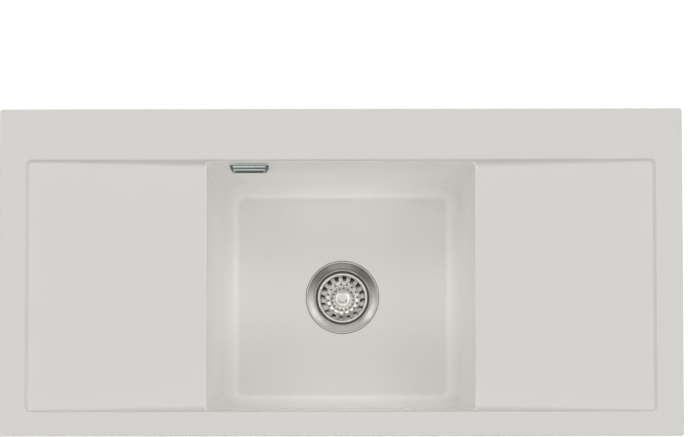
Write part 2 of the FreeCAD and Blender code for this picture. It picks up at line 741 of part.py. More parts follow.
def waste_flange():
    """Pressed cup with its dished flange, beaded edge and shoulder for the basket."""
    body = new_body("waste_flange")
    foot = "contact_gap - seat_depth"
    revolve(body, "cup", [
        ("bead_inner", "0"),
        ("bead_inner + flange_bead_height", "flange_bead_height"),
        ("flange_radius - flange_bead_height", "flange_bead_height"),
        ("flange_radius", "0"), ("flange_radius", foot), ("flange_radius - sheet_steel", foot),
        ("flange_radius - sheet_steel", "-sheet_steel"), ("bead_inner", "-sheet_steel"),
        ("cup_outer", "-flange_drop - sheet_steel"),
        ("cup_outer", "-cup_shoulder_top - sheet_steel / 2"),
        ("neck_outer", "-cup_shoulder_foot - sheet_steel / 2"),
        ("neck_outer", "-cup_depth"), ("0", "-cup_depth"), ("0", "-cup_depth + sheet_steel"),
        ("cup_neck_radius", "-cup_depth + sheet_steel"), ("cup_neck_radius", "-cup_shoulder_foot"),
        ("cup_radius", "-cup_shoulder_top"), ("cup_radius", "-flange_drop - sheet_steel"),
        ("cup_outer", "-flange_drop")])
    ports = new_sketch(body, "port", ALONG_Z, "-cup_depth")
    circle(ports, "cup_port_circle", "0", "cup_port_radius")
    port = extrude(body, "Pocket", ports, "sheet_steel", reverse=True)
    polar(body, "ports", [port], 6)
    middle = new_sketch(body, "screw_hole", ALONG_Z, "-cup_depth")
    circle(middle, "0", "0", "waste_screw_radius + contact_gap")
    extrude(body, "Pocket", middle, "sheet_steel", reverse=True)
    return place(body, z="waste_level")


def flange_gasket():
    body = new_body("flange_gasket")
    outer = "(bead_inner - contact_gap)"
    inner = "(%s - gasket_width)" % outer
    low = "gasket_thickness - contact_gap"
    revolve(body, "ring", [
        (outer, under_flange(outer, "contact_gap")), (outer, under_flange(outer, low)),
        (inner, under_flange(inner, low)), (inner, under_flange(inner, "contact_gap"))])
    return place(body, z="waste_level")


def under_gasket():
    body = new_body("under_gasket")
    inner, outer = "waste_hole_radius", "body_flange_radius"
    revolve(body, "ring", [
        (outer, "-floor_thickness"), (outer, "body_top"), (inner, "body_top"), (inner, "-floor_thickness")])
    return place(body, z="waste_level")


def waste_body():
    """Moulded body below the bowl, with its outlet, screw hub and overflow socket."""
    body = new_body("waste_body")
    lead = "(body_mouth - body_bore)"
    flange_foot = "body_top - body_flange_thickness"
    revolve(body, "shell", [
        ("body_flange_radius", "body_top"), ("body_flange_radius", flange_foot),
        ("body_mouth + body_wall", flange_foot), ("body_outer", "%s - %s" % (flange_foot, lead)),
        ("body_outer", "-body_depth"), ("outlet_radius", "outlet_top"), ("outlet_radius", "outlet_foot"),
        ("outlet_bore_radius", "outlet_foot"), ("outlet_bore_radius", "outlet_top"),
        ("body_bore", "-body_depth"), ("body_bore", "body_top - %s" % lead), ("body_mouth", "body_top")])
    ribs = new_sketch(body, "hub_ribs", ALONG_Z, "-cup_depth")
    reach = "(body_bore + body_wall / 2)"
    rectangle(ribs, reach, "hub_rib / 2")
    extrude(body, "Pad", ribs, "body_depth - cup_depth", reverse=True)
    cross = new_sketch(body, "hub_cross", ALONG_Z, "-cup_depth")
    rectangle(cross, "hub_rib / 2", reach)
    extrude(body, "Pad", cross, "body_depth - cup_depth", reverse=True)
    hub = new_sketch(body, "hub", ALONG_Z, "-cup_depth")
    circle(hub, "0", "0", "hub_radius")
    extrude(body, "Pad", hub, "hub_length", reverse=True)
    seat = new_sketch(body, "insert_seat", ALONG_Z, "-cup_depth")
    circle(seat, "0", "0", "insert_radius + contact_gap")
    extrude(body, "Pocket", seat, "hub_length - hub_floor")
    socket = new_sketch(body, "overflow_socket", ALONG_X, "body_bore + contact_gap")
    circle(socket, "0", "-socket_depth", "socket_outer")
    extrude(body, "Pad", socket, "socket_reach - body_bore - contact_gap")
    entry = new_sketch(body, "pipe_seat", ALONG_X, "socket_reach")
    circle(entry, "0", "-socket_depth", "socket_bore")
    extrude(body, "Pocket", entry, "pipe_entry + contact_gap")
    passage = new_sketch(body, "overflow_passage", ALONG_X, "socket_reach")
    circle(passage, "0", "-socket_depth", "pipe_bore_radius")
    extrude(body, "Pocket", passage, "socket_reach - body_bore + body_wall")
    return place(body, z="waste_level", turn="pipe_turn")


def screw_insert():
    body = new_body("screw_insert")
    inner = "waste_screw_radius + contact_gap"
    foot = "-cup_depth - hub_length + hub_floor"
    revolve(body, "sleeve", [
        ("insert_radius", "-cup_depth"), ("insert_radius", foot), (inner, foot), (inner, "-cup_depth")])
    return place(body, z="waste_level")


def clamp_screw():
    """The central screw that draws cup and body together; its head holds the basket's clip."""
    body = new_body("clamp_screw")
    seat = "-cup_depth + sheet_steel"
    foot = "-cup_depth - hub_length + hub_floor + screw_end_gap"
    revolve(body, "screw", [
        ("0", foot), ("waste_screw_radius", foot), ("waste_screw_radius", seat),
        ("waste_screw_head", seat), ("waste_screw_head", "screw_head_top"),
        ("clip_socket_radius", "screw_head_top"),
        ("clip_socket_radius", "screw_head_top - clip_socket_depth"),
        ("0", "screw_head_top - clip_socket_depth")])
    round_edges(body, "head_round", ring_at("waste_screw_head", "screw_head_top"), "sheet_steel")
    return place(body, z="waste_level")


# ----------------------------------------------------------------------------------------
# Basket strainer
# ----------------------------------------------------------------------------------------
def basket_body():
    """Pressed basket: rim, leaning wall, slotted bend, pierced floor ring and dome."""
    body = new_body("basket_body")
    bore = "stem_radius + contact_gap"
    floor = "-basket_floor_depth"
    under_dome = ("basket_dome_radius", floor + " - basket_sheet")
    crown = ("basket_dome_flat", "basket_top")
    revolve(body, "pressing", [
        ("basket_rim_radius", "-basket_rim_depth"),
        ("basket_rim_radius", "-basket_rim_depth - basket_rim_thickness"),
        ("basket_mouth_radius", "-basket_rim_depth - basket_rim_thickness"),
        ("basket_wall_radius + basket_sheet", "-basket_wall_depth - basket_sheet / 2"),
        ("basket_floor_radius", floor + " - basket_sheet"),
        under_dome,
        ("basket_dome_flat", "basket_top - basket_sheet"), (bore, "basket_top - basket_sheet"),
        (bore, "basket_top"), crown,
        ("basket_dome_radius", floor), ("basket_floor_radius", floor),
        ("basket_wall_radius", "-basket_wall_depth"),
        ("basket_mouth_radius - basket_sheet", "-basket_rim_depth")], domed=(under_dome, crown))
    round_edges(body, "wall_bend", ring_at("basket_wall_radius", "-basket_wall_depth"), "basket_bend")
    round_edges(body, "rim_round", ring_at("basket_rim_radius", "-basket_rim_depth"), "basket_sheet")
    slot = new_sketch(body, "slot", ALONG_Z, floor + " - 2 * basket_sheet")
    polygon(slot, [
        ("basket_slot_inner", "-basket_slot_width / 2"), ("basket_rim_radius", "-basket_slot_mouth / 2"),
        ("basket_rim_radius", "basket_slot_mouth / 2"), ("basket_slot_inner", "basket_slot_width / 2")])
    depth = "basket_floor_depth + 2 * basket_sheet - basket_slot_top"
    cut = extrude(body, "Pocket", slot, depth, reverse=True)
    polar(body, "slots", [cut])
    hole = new_sketch(body, "hole", ALONG_Z, floor + " - 2 * basket_sheet")
    half_pitch = 180 / OCCURRENCES
    circle(hole, "basket_floor_radius * cos(%s)" % half_pitch, "basket_floor_radius * sin(%s)" % half_pitch,
           "basket_hole_radius")
    pierced = extrude(body, "Pocket", hole, "4 * basket_sheet", reverse=True)
    polar(body, "holes", [pierced])
    return place(body, z="waste_level", turn="basket_turn")


def basket_seal():
    """Rubber ring under the basket's rim, lying in the cup's shoulder."""
    body = new_body("basket_seal")
    top = "(basket_rim_depth + basket_rim_thickness + running_gap)"
    foot = "(%s + basket_seal_height)" % top
    aside = "1.5 * running_gap"
    inner = "basket_mouth_radius + 1.5 * running_gap"
    revolve(body, "ring", [
        (inner, "-" + top), (shoulder(top) + " - " + aside, "-" + top),
        (shoulder(foot) + " - " + aside, "-" + foot), (inner, "-" + foot)])
    return place(body, z="waste_level")


def basket_knob():
    body = new_body("basket_knob")
    crown = "(basket_top + knob_height)"
    revolve(body, "turned", [
        ("0", "basket_top"), ("knob_waist + knob_foot", "basket_top"),
        ("knob_waist", "basket_top + knob_foot"), ("knob_waist", "basket_top + knob_height / 2"),
        ("knob_radius", crown + " - knob_height / 3"),
        ("knob_radius", crown), ("0", crown)])
    round_edges(body, "crown_round", ring_at("knob_radius", crown), "knob_height / 6")
    return place(body, z="waste_level")


def basket_stem():
    body = new_body("basket_stem")
    revolve(body, "rod", [
        ("0", "basket_top"), ("stem_radius", "basket_top"), ("stem_radius", "-stem_foot"),
        ("0", "-stem_foot")])
    return place(body, z="waste_level")


def basket_clip():
    """Split sleeve on the stem, sprung into the head of the waste's screw."""
    body = new_body("basket_clip")
    inner = "stem_radius + contact_gap"
    top = "clip_length - stem_foot"
    revolve(body, "sleeve", [
        ("clip_radius", "-stem_foot"), ("clip_radius", top), (inner, top), (inner, "-stem_foot")])
    split = new_sketch(body, "split", ALONG_Z, "-stem_foot")
    rounded_rectangle(split, "0", "-clip_slot / 2", "clip_radius + 1", "clip_slot / 2", "clip_slot / 4")
    cut = extrude(body, "Pocket", split, "clip_length * 2 / 3", reverse=True)
    polar(body, "splits", [cut], 4)
    return place(body, z="waste_level")


# ----------------------------------------------------------------------------------------
# Overflow: its own frame lies on the wall's inner face, Y out through the wall
# ----------------------------------------------------------------------------------------
def slotted_slab(label, front, thickness, grow):
    """A flat plate along the wall, with the overflow's slot in it."""
    body = new_body(label)
    slab = new_sketch(body, label + "_outline", ALONG_Y, front)
    for margin in (grow, "0"):
        half_x = "(overflow_slot_width / 2 + %s)" % margin
        half_z = "(overflow_slot_height / 2 + %s)" % margin
        rounded_rectangle(slab, "-" + half_x, "-" + half_z, half_x, half_z, "overflow_slot_height / 3")
    extrude(body, "Pad", slab, thickness)
    return in_wall(body)


def overflow_plate():
    """Perforated carrier behind the rosette, held by the overflow's screw."""
    body = new_body("overflow_plate")
    half_x = "(overflow_slot_width / 2 + overflow_margin)"
    half_z = "(overflow_slot_height / 2 + overflow_margin)"
    near = "(overflow_screw_head + plate_window_margin)"
    far = "(overflow_slot_width / 2 - plate_window_margin)"
    plate = new_sketch(body, "plate", ALONG_Y, "overflow_gasket")
    rounded_rectangle(plate, "-" + half_x, "-" + half_z, half_x, half_z, "overflow_slot_height / 3")
    window = "overflow_slot_height / 3"
    rounded_rectangle(plate, near, "-" + window, far, window, "overflow_plate")
    rounded_rectangle(plate, "-" + far, "-" + window, "-" + near, window, "overflow_plate")
    circle(plate, "0", "0", "overflow_screw_radius + contact_gap")
    extrude(body, "Pad", plate, "overflow_plate")
    return in_wall(body)


def overflow_rosette():
    """Bevelled cover with two bars across its window."""
    body = new_body("overflow_rosette")

    def outline(name, front, inset):
        half_x = "(rosette_width / 2 - (%s))" % inset
        half_z = "(rosette_height / 2 - (%s))" % inset
        sketch = new_sketch(body, name, ALONG_Y, front)
        rounded_rectangle(sketch, "-" + half_x, "-" + half_z, half_x, half_z, "rosette_corner")
        return sketch

    loft(body, "bevelled_block", [
        outline("rosette_back", "contact_gap", "0"),
        outline("rosette_front", "rosette_projection", "rosette_bevel")])
    loft(body, "hollow", [
        outline("hollow_back", "contact_gap", "rosette_wall"),
        outline("hollow_front", "rosette_projection - rosette_wall", "rosette_bevel + rosette_wall")],
        cut=True)
    slit = "((rosette_window_height - 2 * rosette_bar) / 3)"
    windows = new_sketch(body, "window", ALONG_Y, "rosette_projection")
    for row in range(3):
        low = "-rosette_window_height / 2 + %d * (%s + rosette_bar)" % (row, slit)
        rounded_rectangle(windows, "-rosette_window_width / 2", low, "rosette_window_width / 2",
                          "%s + %s" % (low, slit), slit + " / 5")
    extrude(body, "Pocket", windows, "2 * rosette_wall")
    return in_wall(body)


def overflow_elbow():
    """Moulded elbow behind the wall: flanged box with an upright socket below it."""
    body = new_body("overflow_elbow")
    half_x = "(overflow_slot_width / 2 + overflow_margin + elbow_plate_margin)"
    half_z = "(overflow_slot_height / 2 + overflow_margin + elbow_plate_margin)"
    flange = new_sketch(body, "flange", ALONG_Y, "-elbow_face")
    rounded_rectangle(flange, "-" + half_x, "-" + half_z, half_x, half_z, "overflow_slot_height / 3")
    extrude(body, "Pad", flange, "elbow_plate", reverse=True)
    box = new_sketch(body, "box", ALONG_Y, "-elbow_face")
    rounded_rectangle(box, "-elbow_box_width / 2", "-elbow_box_height / 2", "elbow_box_width / 2",
                      "elbow_box_height / 2", "elbow_wall * 1.5")
    extrude(body, "Pad", box, "elbow_back - elbow_face", reverse=True)
    socket = new_sketch(body, "socket", ALONG_Z, "-elbow_socket_drop", tilt="wall_tilt")
    circle(socket, "0", "elbow_axis", "socket_outer")
    extrude(body, "Pad", socket, "elbow_socket_drop - elbow_box_height / 2")
    inside = new_sketch(body, "inside", ALONG_Y, "-elbow_face")
    inner_x = "(elbow_box_width / 2 - elbow_wall)"
    inner_z = "(elbow_box_height / 2 - elbow_wall)"
    rounded_rectangle(inside, "-" + inner_x, "-" + inner_z, inner_x, inner_z, "elbow_wall / 2")
    extrude(body, "Pocket", inside, "elbow_back - elbow_face - elbow_wall")
    bore = new_sketch(body, "socket_bore", ALONG_Z, "-elbow_socket_drop", tilt="wall_tilt")
    circle(bore, "0", "elbow_axis", "socket_bore")
    extrude(body, "Pocket", bore, "pipe_entry + contact_gap", reverse=True)
    passage = new_sketch(body, "passage", ALONG_Z, "-elbow_socket_drop", tilt="wall_tilt")
    circle(passage, "0", "elbow_axis", "pipe_bore_radius")
    extrude(body, "Pocket", passage, "elbow_socket_drop", reverse=True)
    boss = new_sketch(body, "screw_boss", ALONG_Y, "-elbow_face - contact_gap")
    circle(boss, "0", "0", "elbow_boss_radius")
    extrude(body, "Pad", boss, "elbow_back - elbow_face - elbow_wall / 2", reverse=True)
    thread = new_sketch(body, "screw_bore", ALONG_Y, "-elbow_face")
    circle(thread, "0", "0", "overflow_screw_radius + contact_gap")
    screw_end = "overflow_screw_length + overflow_gasket + overflow_plate"
    extrude(body, "Pocket", thread, screw_end + " - elbow_face + screw_end_gap")
    return in_wall(body)


def overflow_screw():
    body = new_body("overflow_screw")
    seat = "(overflow_gasket + overflow_plate)"
    head = new_sketch(body, "head", ALONG_Y, seat)
    circle(head, "0", "0", "overflow_screw_head")
    extrude(body, "Pad", head, "overflow_screw_head_height")
    shank = new_sketch(body, "shank", ALONG_Y, seat)
    circle(shank, "0", "0", "overflow_screw_radius")
    extrude(body, "Pad", shank, "overflow_screw_length", reverse=True)
    return in_wall(body)


def overflow_pipe():
    """Rigid pipe from the elbow down behind the bowl and in below it to the waste."""
    body = new_body("overflow_pipe")
    path = new_sketch(body, "route", ALONG_Y)
    run, turn_x = value("pipe_run"), value("pipe_run - pipe_bend")
    low, turn_z = value("-socket_depth"), value("pipe_bend - socket_depth")
    high, end = value("pipe_high"), value("socket_reach - pipe_entry")
    points = [FreeCAD.Vector(x, z, 0) for x, z in ((run, high), (run, turn_z), (turn_x, low), (end, low))]
    down = path.addGeometry(Part.LineSegment(points[0], points[1]), False)
    centre = FreeCAD.Vector(turn_x, turn_z, 0)
    whole = Part.Circle(centre, FreeCAD.Vector(0, 0, 1), value("pipe_bend"))
    bend = path.addGeometry(Part.ArcOfCircle(whole, 1.5 * math.pi, 2 * math.pi), False)
    along = path.addGeometry(Part.LineSegment(points[2], points[3]), False)
    path.addConstraint(Sketcher.Constraint("Tangent", down, 2, bend, 2))
    path.addConstraint(Sketcher.Constraint("Tangent", bend, 1, along, 1))
    path.addConstraint(Sketcher.Constraint("Vertical", down))
    path.addConstraint(Sketcher.Constraint("Horizontal", along))
    sizes = (("DistanceX", down, 1, "pipe_run"), ("DistanceY", down, 1, "pipe_high"),
             ("DistanceY", along, 2, "-socket_depth"), ("DistanceX", along, 2, "socket_reach - pipe_entry"))
    for kind, line, point, text in sizes:
        index = path.addConstraint(Sketcher.Constraint(kind, -1, 1, line, point, value(text)))
        bind(path, "Constraints[%d]" % index, text)
    index = path.addConstraint(Sketcher.Constraint("Radius", bend, value("pipe_bend")))
    bind(path, "Constraints[%d]" % index, "pipe_bend")
    section = new_sketch(body, "section", ALONG_Z, "pipe_high")
    circle(section, "pipe_run", "0", "pipe_radius")
    circle(section, "pipe_run", "0", "pipe_bore_radius")
    pipe = body.newObject("PartDesign::AdditivePipe", "pipe")
    pipe.Profile = section
    pipe.Spine = path
    return place(body, z="waste_level", turn="pipe_turn")


def union_nut(label):
    """Ribbed nut on a socket's mouth, its own Z axis along the pipe, out of the socket."""
    body = new_body(label)
    outer, bore = "socket_outer + nut_wall", "socket_outer + contact_gap"
    top = "cone_seal_length + nut_cap"
    revolve(body, label + "_turned", [
        (outer, "%s - nut_length" % top), (outer, top), ("pipe_radius + pipe_clearance", top),
        ("pipe_radius + pipe_clearance", "cone_seal_length"), (bore, "cone_seal_length"),
        (bore, "%s - nut_length" % top)])
    rib = new_sketch(body, label + "_rib", ALONG_Z, "%s - nut_length" % top)
    root, tip = "%s - nut_wall / 2" % outer, "%s + nut_rib" % outer
    polygon(rib, [(root, "-nut_rib"), (tip, "-nut_rib / 2"), (tip, "nut_rib / 2"), (root, "nut_rib")])
    ridge = extrude(body, "Pad", rib, "nut_length - nut_wall / 2")
    polar(body, label + "_ribs", [ridge], 10)
    return body


def cone_seal(label):
    body = new_body(label)
    inner = "pipe_radius + contact_gap"
    revolve(body, label + "_ring", [
        (inner, "0"), ("socket_outer - contact_gap", "0"),
        (inner + " + pipe_clearance", "cone_seal_length"), (inner, "cone_seal_length")])
    return body


def at_upper_socket(body):
    """Turn a nut or seal over, onto the elbow's downward socket."""
    return place(body, "-overflow_offset", "bowl_centre + overflow_face + elbow_axis",
                 "overflow_level - elbow_socket_drop", turn="180", about=(1, 0, 0))


def at_lower_socket(body):
    """Lay a nut or seal on its side, onto the waste's socket."""
    lean = FreeCAD.Rotation(FreeCAD.Vector(0, 0, 1), value("pipe_turn"))
    body.Placement = FreeCAD.Placement(
        FreeCAD.Vector(0, 0, 0), lean.multiply(FreeCAD.Rotation(FreeCAD.Vector(0, 1, 0), 90)))
    return place(body, "socket_reach * cos(pipe_turn)", "bowl_centre + socket_reach * sin(pipe_turn)",
                 "waste_level - socket_depth")


# ----------------------------------------------------------------------------------------
# Worktop clamps
# ----------------------------------------------------------------------------------------
def at_clamp(body, side, end):
    """Hang a sub-part at one clamp, its claw turned to the sink's middle."""
    y = "bowl_centre + %s" % clamp_line(end)
    return place(body, "%d * clamp_offset" % side, y, turn="%d * 90" % side)


def clamp_bracket(number, side, end):
    """Bent strap: heel beside the boss, and a claw that turns out under the worktop."""
    label = "clamp_bracket_%d" % number
    body = new_body(label)
    heel, heel_back = "-bracket_heel", "(-bracket_heel - bracket_sheet)"
    heel_top = "-skirt_depth - running_gap"
    claw_outer = "(claw_inner + bracket_sheet)"
    strap = new_sketch(body, label + "_side", ALONG_X)
    polygon(strap, [
        (heel_back, "bracket_foot"), (claw_outer, "bracket_foot"), (claw_outer, "claw_top - bracket_sheet"),
        ("claw_inner + bracket_tip", "claw_top - bracket_sheet"), ("claw_inner + bracket_tip", "claw_top"),
        ("claw_inner", "claw_top"), ("claw_inner", "bracket_top"), (heel, "bracket_top"), (heel, heel_top),
        (heel_back, heel_top)])
    extrude(body, "Pad", strap, "bracket_width", symmetric=True)
    bends = [spans_x(y, z) for y, z in (
        (heel_back, "bracket_foot"), (claw_outer, "bracket_foot"), ("claw_inner", "claw_top"))]
    round_edges(body, label + "_bends", lambda e: any(test(e) for test in bends), "bracket_bend")
    hole = new_sketch(body, label + "_hole", ALONG_Z, "bracket_foot")
    circle(hole, "0", "0", "clamp_screw_radius + running_gap")
    extrude(body, "Pocket", hole, "bracket_sheet", reverse=True)
    return at_clamp(body, side, end)


def fastener_set(label, corners):
    """The same turned piece at every clamp, kept together as one sub-part."""
    pieces = []
    for number, (side, end) in enumerate(CLAMP_PLACES, start=1):
        piece = new_body("%s_%d" % (label, number))
        revolve(piece, "%s_turned_%d" % (label, number), corners)
        pieces.append(at_clamp(piece, side, end))
    group = doc.addObject("Part::Compound", label)
    group.Label = label
    group.Links = pieces
    return group


def fixing_dowels():
    top, bore = "dowel_length - skirt_depth", "clamp_screw_radius + contact_gap"
    return fastener_set("fixing_dowels", [
        ("dowel_radius", "-skirt_depth"), ("dowel_radius", top), (bore, top), (bore, "-skirt_depth")])


def fixing_screws():
    seat = "bracket_foot - running_gap"
    top = "dowel_length - skirt_depth - screw_end_gap"
    return fastener_set("fixing_screws", [
        ("0", top), ("clamp_screw_radius", top), ("clamp_screw_radius", seat), ("clamp_screw_head", seat),
        ("clamp_screw_head", "%s - clamp_screw_head_height" % seat),
        ("0", "%s - clamp_screw_head_height" % seat)])


def sub_parts():
    """Every separate piece of the sink, in its place."""
    pieces = [
        sink_basin(), rim_seal(), waste_flange(), flange_gasket(), under_gasket(), waste_body(),
        screw_insert(), clamp_screw(), basket_body(), basket_seal(), basket_knob(), basket_stem(),
        basket_clip(), overflow_rosette(), overflow_plate(), overflow_screw(), overflow_elbow(),
        slotted_slab("overflow_front_gasket", "0", "overflow_gasket", "overflow_margin"),
        slotted_slab("overflow_rear_gasket", "-elbow_face", "gasket_thickness", "overflow_margin"),
        overflow_pipe(), at_upper_socket(union_nut("overflow_nut_upper")),
        at_lower_socket(union_nut("overflow_nut_lower")), at_upper_socket(cone_seal("overflow_seal_upper")),
        at_lower_socket(cone_seal("overflow_seal_lower")), fixing_dowels(), fixing_screws()]
    for number, (side, end) in enumerate(CLAMP_PLACES, start=1):
        pieces.append(clamp_bracket(number, side, end))
    return pieces


def main():
    pieces = sub_parts()
    doc.recompute()
    failed = [thing.Label for thing in doc.Objects if "Invalid" in thing.State or "Error" in thing.State]
    broken = [piece.Label for piece in pieces if piece.Shape.isNull() or not piece.Shape.isValid()]
    if failed or broken:
        raise RuntimeError("failed: %s, not valid: %s" % (failed, broken))
    os.makedirs("parts", exist_ok=True)
    for piece in pieces:
        piece.Shape.exportStep(os.path.join("parts", piece.Label + ".step"))
        box = piece.Shape.BoundBox
        print("%-22s solids %d volume %10.0f  x %.1f..%.1f  y %.1f..%.1f  z %.1f..%.1f" % (
            piece.Label, len(piece.Shape.Solids), piece.Shape.Volume,
            box.XMin, box.XMax, box.YMin, box.YMax, box.ZMin, box.ZMax))


if __name__ == "__main__":
    main()
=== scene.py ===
import json
import logging
import math
from dataclasses import dataclass
from typing import Any, Callable

import bpy
from mathutils import Matrix, Vector

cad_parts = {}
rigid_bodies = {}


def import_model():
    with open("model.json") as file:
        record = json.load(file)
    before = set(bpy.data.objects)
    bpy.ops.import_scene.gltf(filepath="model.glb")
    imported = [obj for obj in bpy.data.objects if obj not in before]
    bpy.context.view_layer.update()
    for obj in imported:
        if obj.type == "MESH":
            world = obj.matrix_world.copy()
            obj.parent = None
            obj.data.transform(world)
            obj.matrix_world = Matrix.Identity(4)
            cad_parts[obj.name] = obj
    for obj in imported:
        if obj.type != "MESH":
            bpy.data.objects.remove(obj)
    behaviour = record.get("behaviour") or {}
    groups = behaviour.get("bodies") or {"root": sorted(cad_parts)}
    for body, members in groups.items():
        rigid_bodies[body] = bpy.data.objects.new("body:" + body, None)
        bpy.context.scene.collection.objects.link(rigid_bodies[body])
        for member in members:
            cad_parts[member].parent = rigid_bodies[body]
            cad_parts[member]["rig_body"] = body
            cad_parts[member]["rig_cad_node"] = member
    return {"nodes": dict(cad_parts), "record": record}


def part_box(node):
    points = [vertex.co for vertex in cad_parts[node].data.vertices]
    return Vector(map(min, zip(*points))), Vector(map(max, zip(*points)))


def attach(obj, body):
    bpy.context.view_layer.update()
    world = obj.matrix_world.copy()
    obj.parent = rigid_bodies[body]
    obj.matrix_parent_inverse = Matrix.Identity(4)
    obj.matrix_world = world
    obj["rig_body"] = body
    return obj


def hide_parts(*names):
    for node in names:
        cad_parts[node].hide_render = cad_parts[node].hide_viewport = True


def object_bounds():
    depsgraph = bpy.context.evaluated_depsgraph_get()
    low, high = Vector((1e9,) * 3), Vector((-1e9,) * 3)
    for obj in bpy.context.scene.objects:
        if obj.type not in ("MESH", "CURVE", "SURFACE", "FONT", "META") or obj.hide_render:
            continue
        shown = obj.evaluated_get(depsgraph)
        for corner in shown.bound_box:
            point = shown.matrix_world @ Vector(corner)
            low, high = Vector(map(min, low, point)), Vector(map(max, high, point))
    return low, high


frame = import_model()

log = logging.getLogger("kitchen_sink")

CAD_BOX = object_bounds()
MM = 0.001

MERGE_DISTANCE = 0.002 * MM      # corners of CAD triangles that lie closer than this become one
SMOOTH_BELOW = 32.0              # edges sharper than this stay sharp, in degrees
LARGE_FACE_WEIGHT = 80           # how much a large face outweighs a small one in the shading
CLOUD_RANGE = (0.3, 0.7)         # a noise pattern's values mostly lie between these
MIX_FACTOR, MIX_A, MIX_B, MIX_RESULT = 0, 6, 7, 2        # the Mix node's sockets for colours


# ----------------------------------------------------------------------------------------
# Small tools
# ----------------------------------------------------------------------------------------
def linear(code: str) -> tuple[float, float, float, float]:
    """Turn an sRGB hex colour into Blender's linear colour.

    Args:
        code: a colour such as "#D8D6D1".

    Returns:
        Red, green, blue and an alpha of 1.
    """
    channels = [int(code[i:i + 2], 16) / 255 for i in (1, 3, 5)]
    red, green, blue = (c / 12.92 if c <= 0.04045 else ((c + 0.055) / 1.055) ** 2.4 for c in channels)
    return red, green, blue, 1.0


def add_node(tree: bpy.types.NodeTree, kind: str, inputs: dict[Any, Any] | None = None,
             **settings: Any) -> bpy.types.Node:
    """Add one node with its settings, and give each named input a value or a link.

    Args:
        tree: the material's or world's node tree.
        kind: the node's type without its prefix, such as "TexNoise".
        inputs: input name or number to a value or to another node's output.
        settings: properties of the node itself.

    Returns:
        The new node.
    """
    node = tree.nodes.new("ShaderNode" + kind)
    for name, setting in settings.items():
        setattr(node, name, setting)
    for name, given in (inputs or {}).items():
        if isinstance(given, bpy.types.NodeSocket):
            tree.links.new(given, node.inputs[name])
        else:
            node.inputs[name].default_value = given
    return node


def deselect_all() -> None:
    """Leave nothing selected and no object in edit mode."""
    if bpy.context.object and bpy.context.object.mode != "OBJECT":
        bpy.ops.object.mode_set(mode="OBJECT")
    bpy.ops.object.select_all(action="DESELECT")


def select_only(piece: bpy.types.Object) -> None:
    """Select one object and make it the active one.

    Args:
        piece: the object.
    """
    deselect_all()
    piece.select_set(True)
    bpy.context.view_layer.objects.active = piece


def dress(piece: bpy.types.Object, material: bpy.types.Material) -> None:
    """Give a piece or a CAD node one material all over.

    Args:
        piece: the piece or node.
        material: the finish for each of its slots.
    """
    if not piece.material_slots:
        piece.data.materials.append(material)
    for slot in piece.material_slots:
        slot.material = material


def finished_copy(node: str, name: str, angle: float = SMOOTH_BELOW) -> bpy.types.Object:
    """Copy a CAD node, close its mesh and give it even shading over its roundings.

    The faces' areas weigh the normals, so flat faces stay flat up to the roundings beside them.

    Args:
        node: the CAD node to copy and stand for.
        name: the new piece's name.
        angle: edges sharper than this stay sharp, in degrees.

    Returns:
        The new piece, which replaces the node and rides on its body.
    """
    piece = frame["nodes"][node].copy()
    piece.data = piece.data.copy()
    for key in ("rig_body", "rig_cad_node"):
        if key in piece:
            del piece[key]
    piece.parent = None
    piece.name = name
    piece.data.name = name
    bpy.context.scene.collection.objects.link(piece)
    select_only(piece)
    bpy.ops.object.mode_set(mode="EDIT")
    bpy.ops.mesh.select_all(action="SELECT")
    bpy.ops.mesh.remove_doubles(threshold=MERGE_DISTANCE)
    bpy.ops.object.mode_set(mode="OBJECT")
    bpy.ops.mesh.customdata_custom_splitnormals_clear()
    bpy.ops.object.shade_smooth_by_angle(angle=math.radians(angle), keep_sharp_edges=False)
    weighing = piece.modifiers.new("even shading", "WEIGHTED_NORMAL")
    weighing.mode = "FACE_AREA"
    weighing.weight = LARGE_FACE_WEIGHT
    weighing.keep_sharp = True
    bpy.ops.object.modifier_apply(modifier=weighing.name)
    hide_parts(node)
    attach(piece, body_of_node(node))
    return piece


def body_of_node(node: str) -> str:
    """The CAD body that a node belongs to."""
    bodies = frame["record"]["behaviour"]["bodies"]
    return next(body for body, members in bodies.items() if node in members)


def waste_centre() -> Vector:
    """The middle of the waste's flange, on its upright axis and midway along the bowl."""
    low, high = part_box("waste_flange")
    return (low + high) / 2


